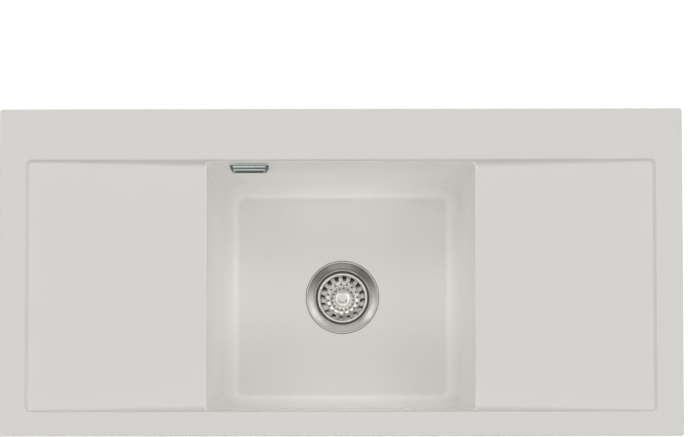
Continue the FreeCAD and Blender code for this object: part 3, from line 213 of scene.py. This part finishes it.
# ----------------------------------------------------------------------------------------
# Finishes
# ----------------------------------------------------------------------------------------
class Space:
    """Coordinates and simple maths inside one node tree, in metres on the object."""

    def __init__(self, tree: bpy.types.NodeTree, coordinates: str = "Object") -> None:
        """Start from the object's own coordinates, or from the sky's directions.

        Args:
            tree: the material's or world's node tree.
            coordinates: "Object" on a piece, "Generated" for the sky's directions.
        """
        self.tree = tree
        self.place = add_node(tree, "TexCoord").outputs[coordinates]
        split = add_node(tree, "SeparateXYZ", {0: self.place})
        self.x, self.y, self.z = split.outputs

    def maths(self, operation: str, a: Any, b: Any = 0.0) -> bpy.types.NodeSocket:
        """One step of arithmetic."""
        return add_node(self.tree, "Math", {0: a, 1: b}, operation=operation).outputs[0]

    def ramp(self, driver: Any, low: float, high: float, at_low: float = 0.0,
             at_high: float = 1.0) -> bpy.types.NodeSocket:
        """Blend smoothly from one number to another while the driver goes from low to high.

        Args:
            driver: the number that drives the blend.
            low: the driver's value where the blend starts.
            high: the driver's value where it ends, which may lie below low.
            at_low: the result at low.
            at_high: the result at high.

        Returns:
            The blended number.
        """
        inputs = {"Value": driver, "From Min": low, "From Max": high, "To Min": at_low, "To Max": at_high}
        node = add_node(self.tree, "MapRange", inputs, interpolation_type="SMOOTHSTEP")
        return node.outputs["Result"]

    def radius(self, centre: Vector) -> bpy.types.NodeSocket:
        """Distance from an upright axis.

        Args:
            centre: a point on the axis.

        Returns:
            The distance, in metres.
        """
        dx = self.maths("SUBTRACT", self.x, centre.x)
        dy = self.maths("SUBTRACT", self.y, centre.y)
        squares = self.maths("ADD", self.maths("MULTIPLY", dx, dx), self.maths("MULTIPLY", dy, dy))
        return self.maths("SQRT", squares)

    def noise(self, size: float, detail: float = 2.0) -> bpy.types.NodeSocket:
        """Cloudy pattern whose patches measure about one size, in metres."""
        inputs = {"Vector": self.place, "Scale": 1.0 / size, "Detail": detail}
        return add_node(self.tree, "TexNoise", inputs).outputs["Fac"]

    def blend(self, factor: Any, a: Any, b: Any) -> bpy.types.NodeSocket:
        """Mix two colours; the factor is the second one's share."""
        inputs = {MIX_FACTOR: factor, MIX_A: a, MIX_B: b}
        return add_node(self.tree, "Mix", inputs, data_type="RGBA").outputs[MIX_RESULT]

    def bump(self, height: Any, depth: float) -> bpy.types.NodeSocket:
        """Relief of a given depth, in metres."""
        return add_node(self.tree, "Bump", {"Height": height, "Distance": depth}).outputs["Normal"]


def new_material(name: str, build: Callable[[Space], dict[str, Any]]) -> bpy.types.Material:
    """Make a material around one Principled shader.

    Args:
        name: the finish's name.
        build: given the material's Space, returns the shader's inputs.

    Returns:
        The material.
    """
    material = bpy.data.materials.new(name)
    material.use_nodes = True
    tree = material.node_tree
    tree.nodes.clear()
    space = Space(tree)
    shader = add_node(tree, "BsdfPrincipled", build(space))
    add_node(tree, "OutputMaterial", {"Surface": shader.outputs[0]})
    return material


@dataclass(frozen=True)
class FireclayGlaze:
    """Fireclay, sprayed with an opaque pale glaze and fired: smooth, faintly wavy and softly glossy.

    The underside is left bare, so there it is rough and sandy. The photograph shows the bowl nearly as
    bright as the deck. To match that under this studio's light, the bowl's walls have painted light, a
    lighter tint with a painted highlight band at their foot, and its floor painted shade, a darker tint
    round the waste. The real glaze may well be one colour.
    """

    deck: str = "#E9E8E8"                # also on the drainboards and the rim
    deck_cloud: str = "#E8E7E7"
    cloud_size: float = 90 * MM
    wall_painted_light: str = "#F9F8F6"           # painted light: lighter, to offset the shade on the walls
    floor_painted_shade: str = "#DFDFDD"          # painted shade: darker, round the waste
    gloss: float = 0.13                  # its roughness
    ior: float = 1.5
    ripple_size: float = 9 * MM
    ripple_depth: float = 0.012 * MM
    bare_clay: str = "#DCD4C4"
    bare_clay_grit: str = "#CDC3B1"
    clay_roughness: float = 0.85
    grit_size: float = 0.7 * MM
    grit_depth: float = 0.12 * MM
    grit_range: tuple[float, float] = (0.4, 0.7)
    outward: float = 0.001               # a face whose normal points this far from the axis looks outwards
    downward: float = -0.05              # a normal below this looks down
    rim_line: float = -0.2 * MM          # above this height all faces are glazed
    lip: float = 205 * MM                # half the bowl's length, where the drainboards end
    wall_edge: tuple[float, float] = (2.2 * MM, 0.4 * MM)          # past the lip: the walls' painted light starts, is full
    wall_top: tuple[float, float] = (5 * MM, 3 * MM)               # heights of the same
    painted_highlight_foot: tuple[float, float] = (-173.9 * MM, -172.0 * MM)    # painted highlight band at the walls' foot: below this a share of the painted light is left
    wall_share: float = 0.35
    floor_radius: tuple[float, float] = (185 * MM, 45 * MM)        # painted shade on the floor starts, is full
    floor_height: tuple[float, float] = (-172.6 * MM, -173.6 * MM)

    def bare(self, space: Space, centre: Vector) -> bpy.types.NodeSocket:
        """Mark the unglazed clay: faces below the rim that look outwards or down.

        Args:
            space: the material's coordinates.
            centre: a point on the waste's upright axis, midway along the bowl.

        Returns:
            1 on bare clay and 0 on glaze.
        """
        face = add_node(space.tree, "NewGeometry").outputs["Normal"]
        nx, ny, nz = add_node(space.tree, "SeparateXYZ", {0: face}).outputs
        out_x = space.maths("MULTIPLY", nx, space.maths("SUBTRACT", space.x, centre.x))
        out_y = space.maths("MULTIPLY", ny, space.maths("SUBTRACT", space.y, centre.y))
        faces_out = space.maths("GREATER_THAN", space.maths("ADD", out_x, out_y), self.outward)
        faces_down = space.maths("LESS_THAN", nz, self.downward)
        below_rim = space.maths("LESS_THAN", space.z, self.rim_line)
        return space.maths("MULTIPLY", space.maths("MAXIMUM", faces_out, faces_down), below_rim)

    def tint(self, space: Space, centre: Vector) -> bpy.types.NodeSocket:
        """Colour the glaze on the deck, with painted light on the bowl's walls and painted shade on its
        floor.

        Args:
            space: the material's coordinates.
            centre: a point on the waste's upright axis, midway along the bowl.

        Returns:
            The glaze's colour.
        """
        cloud = space.ramp(space.noise(self.cloud_size), *CLOUD_RANGE)
        colour = space.blend(cloud, linear(self.deck), linear(self.deck_cloud))
        # Painted light on the bowl's walls, with a painted highlight band at their foot.
        from_axis = space.maths("ABSOLUTE", space.maths("SUBTRACT", space.x, centre.x))
        start, full = self.wall_edge
        inside = space.maths("MULTIPLY", space.ramp(from_axis, self.lip + start, self.lip + full),
                             space.ramp(space.z, *self.wall_top))
        wall = space.maths("MULTIPLY", inside, space.ramp(space.z, *self.painted_highlight_foot, self.wall_share, 1.0))
        colour = space.blend(wall, colour, linear(self.wall_painted_light))
        # Painted shade on the bowl's floor round the waste.
        floor = space.maths("MULTIPLY", space.ramp(space.radius(centre), *self.floor_radius),
                            space.ramp(space.z, *self.floor_height))
        return space.blend(floor, colour, linear(self.floor_painted_shade))

    def build(self, centre: Vector) -> bpy.types.Material:
        """Make the material.

        Args:
            centre: a point on the waste's upright axis, midway along the bowl.

        Returns:
            The material.
        """
        def shading(space: Space) -> dict[str, Any]:
            """Wire the glaze, the bare clay and the relief of both."""
            bare = self.bare(space, centre)
            grit = space.noise(self.grit_size, 4.0)
            clay = space.blend(space.ramp(grit, *self.grit_range), linear(self.bare_clay),
                               linear(self.bare_clay_grit))
            ripple = space.bump(space.noise(self.ripple_size, 1.0), self.ripple_depth)
            sand = add_node(space.tree, "Bump", {
                "Height": space.maths("MULTIPLY", grit, bare), "Distance": self.grit_depth, "Normal": ripple})
            return {
                "Base Color": space.blend(bare, self.tint(space, centre), clay),
                "Roughness": space.ramp(bare, 0.0, 1.0, self.gloss, self.clay_roughness),
                "IOR": self.ior, "Normal": sand.outputs["Normal"]}
        return new_material("sprayed_fireclay_glaze", shading)


@dataclass(frozen=True)
class SatinSteel:
    """Stainless steel, brushed or turned round its axis: fine rings, soft highlights.

    Some zones are left polished, as mirror-bright bands between two radii. The tint can be darkened
    towards the rear as painted shade, to match the photograph, in which the funnel's rear is darker than
    this light leaves it.
    """

    name: str
    colour: str = "#B9B8B5"
    roughness: float = 0.30
    ring_pitch: float = 0.35 * MM
    ring_depth: float = 0.010 * MM
    ring_drift: float = 40.0             # steps that the rings' pattern moves on per metre of height
    ring_range: tuple[float, float] = (0.25, 0.75)
    ring_contrast: tuple[float, float] = (0.8, 1.25)               # times the roughness
    smudge: str = "#C6C5C2"
    smudge_size: float = 12 * MM
    polished: tuple[tuple[float, float], ...] = ()
    polish: float = 0.35                 # what the polished bands keep of the roughness
    rear_shade: float = 0.0              # share of the painted shade at the rear
    rear_shade_colour: str = "#3A3A39"
    rear_reach: tuple[float, float] = (-0.5, 0.95)                 # starts and is full; front -1, rear 1

    def build(self, centre: Vector) -> bpy.types.Material:
        """Make the material.

        Args:
            centre: a point on the pressing's upright axis.

        Returns:
            The material.
        """
        def shading(space: Space) -> dict[str, Any]:
            """Wire the rings, the polished bands and the tint."""
            radius = space.radius(centre)
            across = add_node(space.tree, "CombineXYZ", {
                "X": space.maths("DIVIDE", radius, self.ring_pitch),
                "Y": space.maths("MULTIPLY", space.z, self.ring_drift)}).outputs[0]
            rings = add_node(space.tree, "TexNoise", {
                "Vector": across, "Scale": 1.0, "Detail": 2.0}).outputs["Fac"]
            bright = 0.0
            for low, high in self.polished:
                band = space.maths("MULTIPLY", space.maths("GREATER_THAN", radius, low),
                                   space.maths("LESS_THAN", radius, high))
                bright = space.maths("MAXIMUM", bright, band)
            least, most = self.ring_contrast
            rough = space.ramp(rings, *self.ring_range, self.roughness * least, self.roughness * most)
            if self.polished:
                rough = space.maths("MULTIPLY", rough, space.ramp(bright, 0.0, 1.0, 1.0, self.polish))
            tint = space.blend(space.noise(self.smudge_size, 3.0), linear(self.colour), linear(self.smudge))
            # Painted shade: the tint darkens towards the rear.
            if self.rear_shade:
                to_rear = space.maths("DIVIDE", space.maths("SUBTRACT", space.y, centre.y), radius)
                painted_rear_shade = space.maths("MULTIPLY", space.ramp(to_rear, *self.rear_reach, 0.0, self.rear_shade),
                                  space.maths("SUBTRACT", 1.0, bright))
                tint = space.blend(painted_rear_shade, tint, linear(self.rear_shade_colour))
            return {"Base Color": tint, "Metallic": 1.0, "Roughness": rough,
                    "Normal": space.bump(rings, self.ring_depth)}
        return new_material(self.name, shading)


@dataclass(frozen=True)
class PlatedMetal:
    """Plated or bare metal, faintly clouded: chrome is mirror-bright, zinc duller with crystal clouds."""

    name: str
    colour: str
    cloud: str
    roughness: float
    cloud_size: float = 4 * MM
    cloud_range: tuple[float, float] = (0.35, 0.65)
    smear_size: float = 18 * MM
    smear_contrast: tuple[float, float] = (0.7, 1.4)               # times the roughness

    def build(self) -> bpy.types.Material:
        """Make the material.

        Returns:
            The material.
        """
        def shading(space: Space) -> dict[str, Any]:
            """Wire the crystal clouds and the smears on the plating."""
            patches = space.ramp(space.noise(self.cloud_size, 4.0), *self.cloud_range)
            smear = space.noise(self.smear_size, 3.0)
            least, most = self.smear_contrast
            return {"Base Color": space.blend(patches, linear(self.colour), linear(self.cloud)),
                    "Metallic": 1.0,
                    "Roughness": space.ramp(smear, *CLOUD_RANGE, self.roughness * least,
                                            self.roughness * most)}
        return new_material(self.name, shading)


@dataclass(frozen=True)
class MouldedPlastic:
    """Injection-moulded plastic with the faint grain of a spark-eroded mould."""

    name: str
    colour: str
    shade: str
    roughness: float
    grain: float = 0.5 * MM
    grain_depth: float = 0.02 * MM
    grain_contrast: tuple[float, float] = (0.85, 1.15)             # times the roughness
    flow_size: float = 25 * MM

    def build(self) -> bpy.types.Material:
        """Make the material.

        Returns:
            The material.
        """
        def shading(space: Space) -> dict[str, Any]:
            """Wire the flow marks and the mould's grain."""
            flow = space.ramp(space.noise(self.flow_size), *CLOUD_RANGE)
            grain = space.noise(self.grain, 3.0)
            least, most = self.grain_contrast
            return {"Base Color": space.blend(flow, linear(self.colour), linear(self.shade)),
                    "Roughness": space.ramp(grain, *CLOUD_RANGE, self.roughness * least,
                                            self.roughness * most),
                    "Normal": space.bump(grain, self.grain_depth)}
        return new_material(self.name, shading)


@dataclass(frozen=True)
class SoftRubber:
    """Cured rubber, cell foam, or a painted shadow bead: matt and dark, with a fine skin."""

    name: str
    colour: str
    dust: str
    cell: float = 0.6 * MM
    cell_depth: float = 0.05 * MM
    bloom_size: float = 15 * MM
    bloom_range: tuple[float, float] = (0.45, 0.8)
    roughness: float = 0.72

    def build(self) -> bpy.types.Material:
        """Make the material.

        Returns:
            The material.
        """
        def shading(space: Space) -> dict[str, Any]:
            """Wire the dusty bloom and the fine cells."""
            cells = space.noise(self.cell, 4.0)
            bloom = space.ramp(space.noise(self.bloom_size, 3.0), *self.bloom_range)
            return {"Base Color": space.blend(bloom, linear(self.colour), linear(self.dust)),
                    "Roughness": self.roughness, "Normal": space.bump(cells, self.cell_depth)}
        return new_material(self.name, shading)


# ----------------------------------------------------------------------------------------
# Sub-assemblies
# ----------------------------------------------------------------------------------------
@dataclass
class Basin:
    """The glazed fireclay body and the sealing strip under its rim."""

    glaze: FireclayGlaze = FireclayGlaze()
    seal: SoftRubber = SoftRubber("cell_foam_strip", "#4A4A4A", "#5A5A59", 1.2 * MM)

    def build(self) -> list[bpy.types.Object]:
        """Shade the casting evenly and dress both pieces.

        Returns:
            The pieces that stand for CAD nodes.
        """
        casting = finished_copy("sink_basin", "glazed_basin")
        dress(casting, self.glaze.build(waste_centre()))
        dress(frame["nodes"]["rim_seal"], self.seal.build())
        return [casting]


@dataclass
class Waste:
    """Pressed strainer cup with its flange, and the plastic body and gaskets below it."""

    funnel: tuple[float, float] = (43.6 * MM, 54.3 * MM)           # its inner and outer radius
    step_width: float = 2 * MM           # the bright step just inside the funnel
    past_edge: float = 1 * MM            # takes the bright band past the flange's edge
    # Painted shade: share of the dark tint on the funnel's rear.
    rear_shade: float = 0.62
    shadow_bead_radius: float = 0.5 * MM        # half the bead's thickness
    shadow_bead_outset: float = 0.1 * MM        # from the flange's edge to the bead's middle
    shadow_bead_sunk: float = 0.5 * MM          # from the flange's top down to the bead's middle
    shadow_bead_segments: tuple[int, int] = (128, 12)
    shadow_bead_slot: str = "black_rubber"

    def build(self) -> list[bpy.types.Object]:
        """Dress the cup, its screw, gaskets and body.

        Returns:
            The pieces that stand for CAD nodes, and the painted shadow bead round the flange.
        """
        low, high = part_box("waste_flange")
        centre = waste_centre()
        outer = (high.x - low.x) / 2
        inner, edge = self.funnel
        steel = SatinSteel("ring_brushed_flange_steel", colour="#DCDBD8", roughness=0.20,
                           polished=((edge, outer + self.past_edge), (inner - self.step_width, inner)),
                           rear_shade=self.rear_shade)
        cup = finished_copy("waste_flange", "strainer_cup")
        dress(cup, steel.build(centre))
        shadow_bead = self.build_shadow_bead(centre, outer, high.z)
        screw = finished_copy("clamp_screw", "strainer_screw")
        dress(screw, SatinSteel("turned_screw_steel").build(centre))
        moulding = MouldedPlastic("moulded_polypropylene", "#E4E3DF", "#DAD9D4", 0.42).build()
        body = finished_copy("waste_body", "waste_moulding")
        dress(body, moulding)
        rubber = SoftRubber("moulded_rubber_ring", "#1B1B1B", "#2B2A29").build()
        for node in ("flange_gasket", "under_gasket"):
            dress(frame["nodes"][node], rubber)
        brass = PlatedMetal("turned_brass", "#B79B5E", "#A98C50", 0.28).build()
        dress(frame["nodes"]["screw_insert"], brass)
        return [cup, shadow_bead, screw, body]

    def build_shadow_bead(self, centre: Vector, radius: float, top: float) -> bpy.types.Object:
        """Lay a thin dark bead round the flange, a painted shadow for the shadow gap between flange and
        glaze.

        Args:
            centre: a point on the waste's upright axis.
            radius: the flange's outer radius.
            top: height of the flange's highest line.

        Returns:
            The bead, a ring that rides on the sink.
        """
        deselect_all()
        round_axis, round_bead = self.shadow_bead_segments
        bpy.ops.mesh.primitive_torus_add(
            major_segments=round_axis, minor_segments=round_bead, major_radius=radius + self.shadow_bead_outset,
            minor_radius=self.shadow_bead_radius, location=(centre.x, centre.y, top - self.shadow_bead_sunk))
        shadow_bead = bpy.context.object
        shadow_bead.name = "flange_painted_shadow"
        bpy.ops.object.transform_apply(location=True, rotation=True, scale=True)
        bpy.ops.object.shade_smooth()
        # Painted shadow: the dark bead stands for the shadow gap round the flange.
        dress(shadow_bead, SoftRubber("painted_shadow_grey", "#55544F", "#605F5B").build())
        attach(shadow_bead, "sink")
        return shadow_bead


@dataclass
class BasketStrainer:
    """The lift-out basket with its knob, stem, clip and seal."""

    steel_painted_light: str = "#F2F1EE"          # painted light: lighter than the flange's, to match the photograph
    ring_depth: float = 0.014 * MM

    def build(self) -> list[bpy.types.Object]:
        """Dress the basket's pieces.

        The seal is a lighter grey than black rubber, painted light against the shade in its gap, to match the
        photograph.

        Returns:
            The pieces that stand for CAD nodes.
        """
        steel = SatinSteel("ring_brushed_basket_steel", colour=self.steel_painted_light, roughness=0.24,
                           ring_depth=self.ring_depth)
        basket = finished_copy("basket_body", "strainer_basket")
        dress(basket, steel.build(waste_centre()))
        chrome = PlatedMetal("polished_chrome", "#DADADB", "#D2D3D5", 0.06, 30 * MM).build()
        knob = finished_copy("basket_knob", "strainer_knob")
        dress(knob, chrome)
        dress(frame["nodes"]["basket_stem"],
              PlatedMetal("drawn_steel_rod", "#B4B3B0", "#A9A8A5", 0.2).build())
        dress(frame["nodes"]["basket_clip"],
              MouldedPlastic("grey_nylon_clip", "#8C8F92", "#83868A", 0.45).build())
        # Painted light: the seal's grey is lighter than black rubber.
        dress(frame["nodes"]["basket_seal"],
              SoftRubber("basket_rubber_seal", "#5C5C5A", "#666664").build())
        return [basket, knob]


@dataclass
class Overflow:
    """The rosette in the bowl's rear wall and the elbow, pipe and nuts behind it."""

    bar_half_length: float = 24.5 * MM
    gaps: tuple[tuple[float, float], ...] = ((0.0, 0.6 * MM), (3.2 * MM, 5.7 * MM))   # from the wall
    gap_depth: float = 0.8 * MM
    gap_border: float = 0.15 * MM        # kept round each gap, as its sloping side
    top_height: float = 5 * MM           # the cover's upper side lies this far above its middle, or more
    top_slope: float = 0.3               # and its normals rise more than this
    smooth_below: float = 25.0           # edges sharper than this stay sharp, in degrees

    def cut_louvre(self, cover: bpy.types.Object) -> None:
        """Recess the gaps between the bars of the cover's upper side, and paint shade on them and the cheeks.

        The cheeks are the cover's two ends past the bars.

        Args:
            cover: the cover's finished copy; its second material, painted shade, goes to the gaps and cheeks.
        """
        low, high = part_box("overflow_rosette")
        middle = (low + high) / 2
        edges = [edge for gap in self.gaps for edge in gap if edge > 0]
        cuts = [((0.0, high.y - edge, 0.0), (0.0, 1.0, 0.0)) for edge in edges]
        ends = [middle.x + side * self.bar_half_length for side in (-1, 1)]
        cuts += [((end, 0.0, 0.0), (1.0, 0.0, 0.0)) for end in ends]
        select_only(cover)
        bpy.ops.object.mode_set(mode="EDIT")
        for place, facing in cuts:
            bpy.ops.mesh.select_all(action="SELECT")
            bpy.ops.mesh.bisect(plane_co=place, plane_no=facing)
        bpy.ops.mesh.select_all(action="DESELECT")
        bpy.ops.object.mode_set(mode="OBJECT")
        for face in cover.data.polygons:
            depth = high.y - face.center.y
            upper = face.normal.z > self.top_slope and face.center.z > middle.z + self.top_height
            outside = abs(face.center.x - middle.x) > self.bar_half_length
            in_gap = any(start < depth < end for start, end in self.gaps)
            face.select = upper and in_gap and not outside
            face.material_index = 1 if face.select or outside else 0
        bpy.ops.object.mode_set(mode="EDIT")
        bpy.ops.mesh.inset(thickness=self.gap_border, depth=-self.gap_depth)
        bpy.ops.object.mode_set(mode="OBJECT")
        bpy.ops.mesh.customdata_custom_splitnormals_clear()
        bpy.ops.object.shade_smooth_by_angle(angle=math.radians(self.smooth_below), keep_sharp_edges=False)

    def build(self) -> list[bpy.types.Object]:
        """Dress the overflow's pieces.

        The chrome is darker than a clean plating, as a painted reflection of dark surroundings, and darker
        still in the gaps and on the cheeks as painted shade, to match the photograph.

        Returns:
            The pieces that stand for CAD nodes.
        """
        pieces = []
        # Painted reflection: the cover's chrome is darker than a clean plating.
        chrome = PlatedMetal("polished_chrome_cover", "#949C9C", "#8D9696", 0.12, 30 * MM).build()
        rosette = finished_copy("overflow_rosette", "overflow_cover", angle=self.smooth_below)
        dress(rosette, chrome)
        # Painted shade for the gaps and the cheeks.
        shaded = PlatedMetal("shaded_chrome", "#656D6C", "#5E6665", 0.3, 30 * MM).build()
        rosette.data.materials.append(shaded)
        self.cut_louvre(rosette)
        pieces.append(rosette)
        steel = PlatedMetal("pressed_carrier_steel", "#AEADAA", "#A3A29F", 0.3).build()
        for node in ("overflow_plate", "overflow_screw"):
            dress(frame["nodes"][node], steel)
        rubber = SoftRubber("overflow_rubber", "#1C1C1C", "#2A2A29").build()
        for node in ("overflow_front_gasket", "overflow_rear_gasket", "overflow_seal_upper",
                     "overflow_seal_lower"):
            dress(frame["nodes"][node], rubber)
        plastic = MouldedPlastic("overflow_polypropylene", "#DFDEDA", "#D5D4CF", 0.40).build()
        for node in ("overflow_elbow", "overflow_pipe", "overflow_nut_upper", "overflow_nut_lower"):
            piece = finished_copy(node, node + "_moulding")
            dress(piece, plastic)
            pieces.append(piece)
        return pieces


@dataclass
class WorktopClamps:
    """Bent straps, screws and dowels that pull the rim down on the worktop."""

    count: int = 4

    def build(self) -> list[bpy.types.Object]:
        """Dress the clamps' pieces.

        Returns:
            Nothing, because each CAD node is dressed as it is.
        """
        zinc = PlatedMetal("zinc_plated_strap", "#A9ACB0", "#8F9399", 0.34).build()
        for number in range(1, self.count + 1):
            dress(frame["nodes"]["clamp_bracket_%d" % number], zinc)
        dress(frame["nodes"]["fixing_screws"],
              PlatedMetal("zinc_plated_screw", "#B2B5B8", "#9A9EA2", 0.3).build())
        dress(frame["nodes"]["fixing_dowels"],
              MouldedPlastic("nylon_dowel", "#8E9194", "#84878B", 0.5).build())
        return []


# ----------------------------------------------------------------------------------------
# Studio
# ----------------------------------------------------------------------------------------
@dataclass
class Lamp:
    """One soft rectangular lamp, aimed at the sink."""

    name: str
    place: tuple[float, float, float]
    size: tuple[float, float]
    power: float

    def build(self, target: Vector) -> None:
        """Hang the lamp and turn it to the target.

        Args:
            target: the point it is aimed at.
        """
        data = bpy.data.lights.new(self.name, "AREA")
        data.shape = "RECTANGLE"
        data.size, data.size_y = self.size
        data.energy = self.power
        lamp = bpy.data.objects.new(self.name, data)
        lamp.location = self.place
        lamp.rotation_euler = (target - Vector(self.place)).to_track_quat("-Z", "Y").to_euler()
        bpy.context.scene.collection.objects.link(lamp)


@dataclass
class Studio:
    """White floor, even sky, soft lamps and the camera of the product shot.

    Diffuse and glossy rays see different light, both set to match the photograph. The glaze is lit by a
    dim sky with a ring of soft boxes. Metal mirrors white cards, dim at the front and bright at the rear,
    and half of that ring. Heights and reaches in the sky are parts of its radius, so the zenith is 1.
    """

    light_tint: str = "#FFFEFA"
    sky: float = 0.30
    overhead: float = 0.10               # added round the zenith
    overhead_height: tuple[float, float] = (0.78, 0.96)            # starts, is full
    ring: float = 2.5                    # added by the soft boxes hung in a ring, 40 degrees from the zenith
    ring_foot: tuple[float, float] = (0.66, 0.73)                  # starts, is full
    ring_head: tuple[float, float] = (0.86, 0.79)
    ring_reach: float = 0.64             # to the left and right
    ring_sides: float = 0.84             # how much of that hangs at the left and right
    ring_lean: float = 0.11              # how much brighter it is at the right than at the middle
    ring_mirrored: float = 0.5           # share of it that metal mirrors
    cards_front: float = 0.30            # white cards that the metal mirrors
    cards_rear: float = 1.30
    cards_reach: float = 0.40            # to the front and rear
    floor_size: float = 30.0
    floor_paper: str = "#F2F2F0"
    floor_glow: float = 0.55             # seen by the camera, metal and glass, so that it looks white
    white: str = "#FFFFFF"
    lean_to_front: float = 6.5           # the view leans this far from straight down, in degrees
    lean_to_right: float = 0.75
    distance: float = 8.0
    frame_width: float = 1.065           # what the picture's width spans at the rim
    aim: tuple[float, float, float] = (14.2 * MM, 324.4 * MM, 11.0 * MM)
    lamps: tuple[Lamp, ...] = (
        Lamp("key_rear_left", (-1.6, 2.4, 2.6), (2.2, 1.6), 2.0),
        Lamp("fill_front", (0.1, -2.2, 2.6), (2.4, 1.4), 4.0),
    )

    def build_world(self) -> None:
        """Light the sink by sky, ring and cards; the camera sees plain white instead."""
        world = bpy.data.worlds.new("studio_sky")
        bpy.context.scene.world = world
        world.use_nodes = True
        tree = world.node_tree
        tree.nodes.clear()
        space = Space(tree, "Generated")
        zenith = space.ramp(space.z, *self.overhead_height, 0.0, self.overhead)
        row = space.maths("MULTIPLY", space.ramp(space.z, *self.ring_foot),
                          space.ramp(space.z, *self.ring_head))
        from_middle = space.maths("ABSOLUTE", space.x)
        sides = space.ramp(from_middle, 0.0, self.ring_reach, self.ring, self.ring * self.ring_sides)
        lean = space.ramp(space.x, -self.ring_reach, self.ring_reach, 1.0 - self.ring_lean,
                          1.0 + self.ring_lean)
        boxes = space.maths("MULTIPLY", space.maths("MULTIPLY", row, lean), sides)
        lit = space.maths("ADD", space.maths("ADD", zenith, boxes), self.sky)
        cards = space.ramp(space.y, -self.cards_reach, self.cards_reach, self.cards_front, self.cards_rear)
        mirrored = space.maths("ADD", cards, space.maths("MULTIPLY", boxes, self.ring_mirrored))
        glossy = add_node(tree, "LightPath").outputs["Is Glossy Ray"]
        strength = space.ramp(glossy, 0.0, 1.0, lit, mirrored)
        sky = add_node(tree, "Background", {"Color": linear(self.light_tint), "Strength": strength})
        white = add_node(tree, "Background", {"Color": linear(self.white), "Strength": 1.0})
        seen = add_node(tree, "LightPath").outputs["Is Camera Ray"]
        mix = add_node(tree, "MixShader", {0: seen, 1: sky.outputs[0], 2: white.outputs[0]})
        add_node(tree, "OutputWorld", {"Surface": mix.outputs[0]})

    def build_floor(self) -> None:
        """A white floor below the waste outlet, which keeps the sink's soft shadow.

        It is clear from below, so that the underside can be looked at too.
        """
        low, high = CAD_BOX
        middle = (low + high) / 2
        deselect_all()
        bpy.ops.mesh.primitive_plane_add(size=self.floor_size, location=(middle.x, middle.y, low.z - MM))
        floor = bpy.context.object
        floor.name = "studio_floor"
        material = bpy.data.materials.new("white_paper_floor")
        material.use_nodes = True
        tree = material.node_tree
        tree.nodes.clear()
        paper = add_node(tree, "BsdfDiffuse", {"Color": linear(self.floor_paper)})
        glow = add_node(tree, "Emission", {"Color": linear(self.white), "Strength": self.floor_glow})
        path = add_node(tree, "LightPath").outputs
        seen = path["Is Camera Ray"]
        for ray in ("Is Glossy Ray", "Is Transmission Ray"):
            seen = add_node(tree, "Math", {0: seen, 1: path[ray]}, operation="MAXIMUM").outputs[0]
        lit = add_node(tree, "AddShader", {0: paper.outputs[0], 1: glow.outputs[0]})
        mix = add_node(tree, "MixShader", {0: seen, 1: paper.outputs[0], 2: lit.outputs[0]})
        below = add_node(tree, "NewGeometry").outputs["Backfacing"]
        clear = add_node(tree, "BsdfTransparent")
        sheet = add_node(tree, "MixShader", {0: below, 1: mix.outputs[0], 2: clear.outputs[0]})
        add_node(tree, "OutputMaterial", {"Surface": sheet.outputs[0]})
        dress(floor, material)

    def build_camera(self) -> None:
        """A long lens almost straight above, leaning to the front and a little to the right."""
        target = Vector(self.aim)
        lean_x = math.tan(math.radians(self.lean_to_right))
        lean_y = math.tan(math.radians(self.lean_to_front))
        back = Vector((lean_x, -lean_y, 1.0)).normalized()
        data = bpy.data.cameras.new("product_camera")
        data.type = "PERSP"
        data.sensor_width = 36.0
        data.lens = data.sensor_width * self.distance / self.frame_width
        data.clip_end = 100.0
        camera = bpy.data.objects.new("product_camera", data)
        camera.location = target + back * self.distance
        right = Vector((0, 1, 0)).cross(back).normalized()
        up = back.cross(right)
        turn = Matrix((right, up, back)).transposed()
        camera.rotation_mode = "QUATERNION"
        camera.rotation_quaternion = turn.to_quaternion()
        bpy.context.scene.collection.objects.link(camera)
        bpy.context.scene.camera = camera

    def build(self) -> None:
        """Set up everything round the sink."""
        bpy.context.scene.view_settings.view_transform = "Standard"
        low, high = CAD_BOX
        self.build_world()
        self.build_floor()
        for lamp in self.lamps:
            lamp.build((low + high) / 2)
        self.build_camera()


def main() -> None:
    """Build every sub-assembly, then the studio, and report the pieces."""
    logging.basicConfig(level=logging.INFO, format="%(name)s: %(message)s")
    for assembly in (Basin(), Waste(), BasketStrainer(), Overflow(), WorktopClamps()):
        pieces = assembly.build()
        names = ", ".join(piece.name for piece in pieces) or "CAD nodes only"
        log.info("%s: %s", type(assembly).__name__, names)
    Studio().build()


if __name__ == "__main__":
    main()
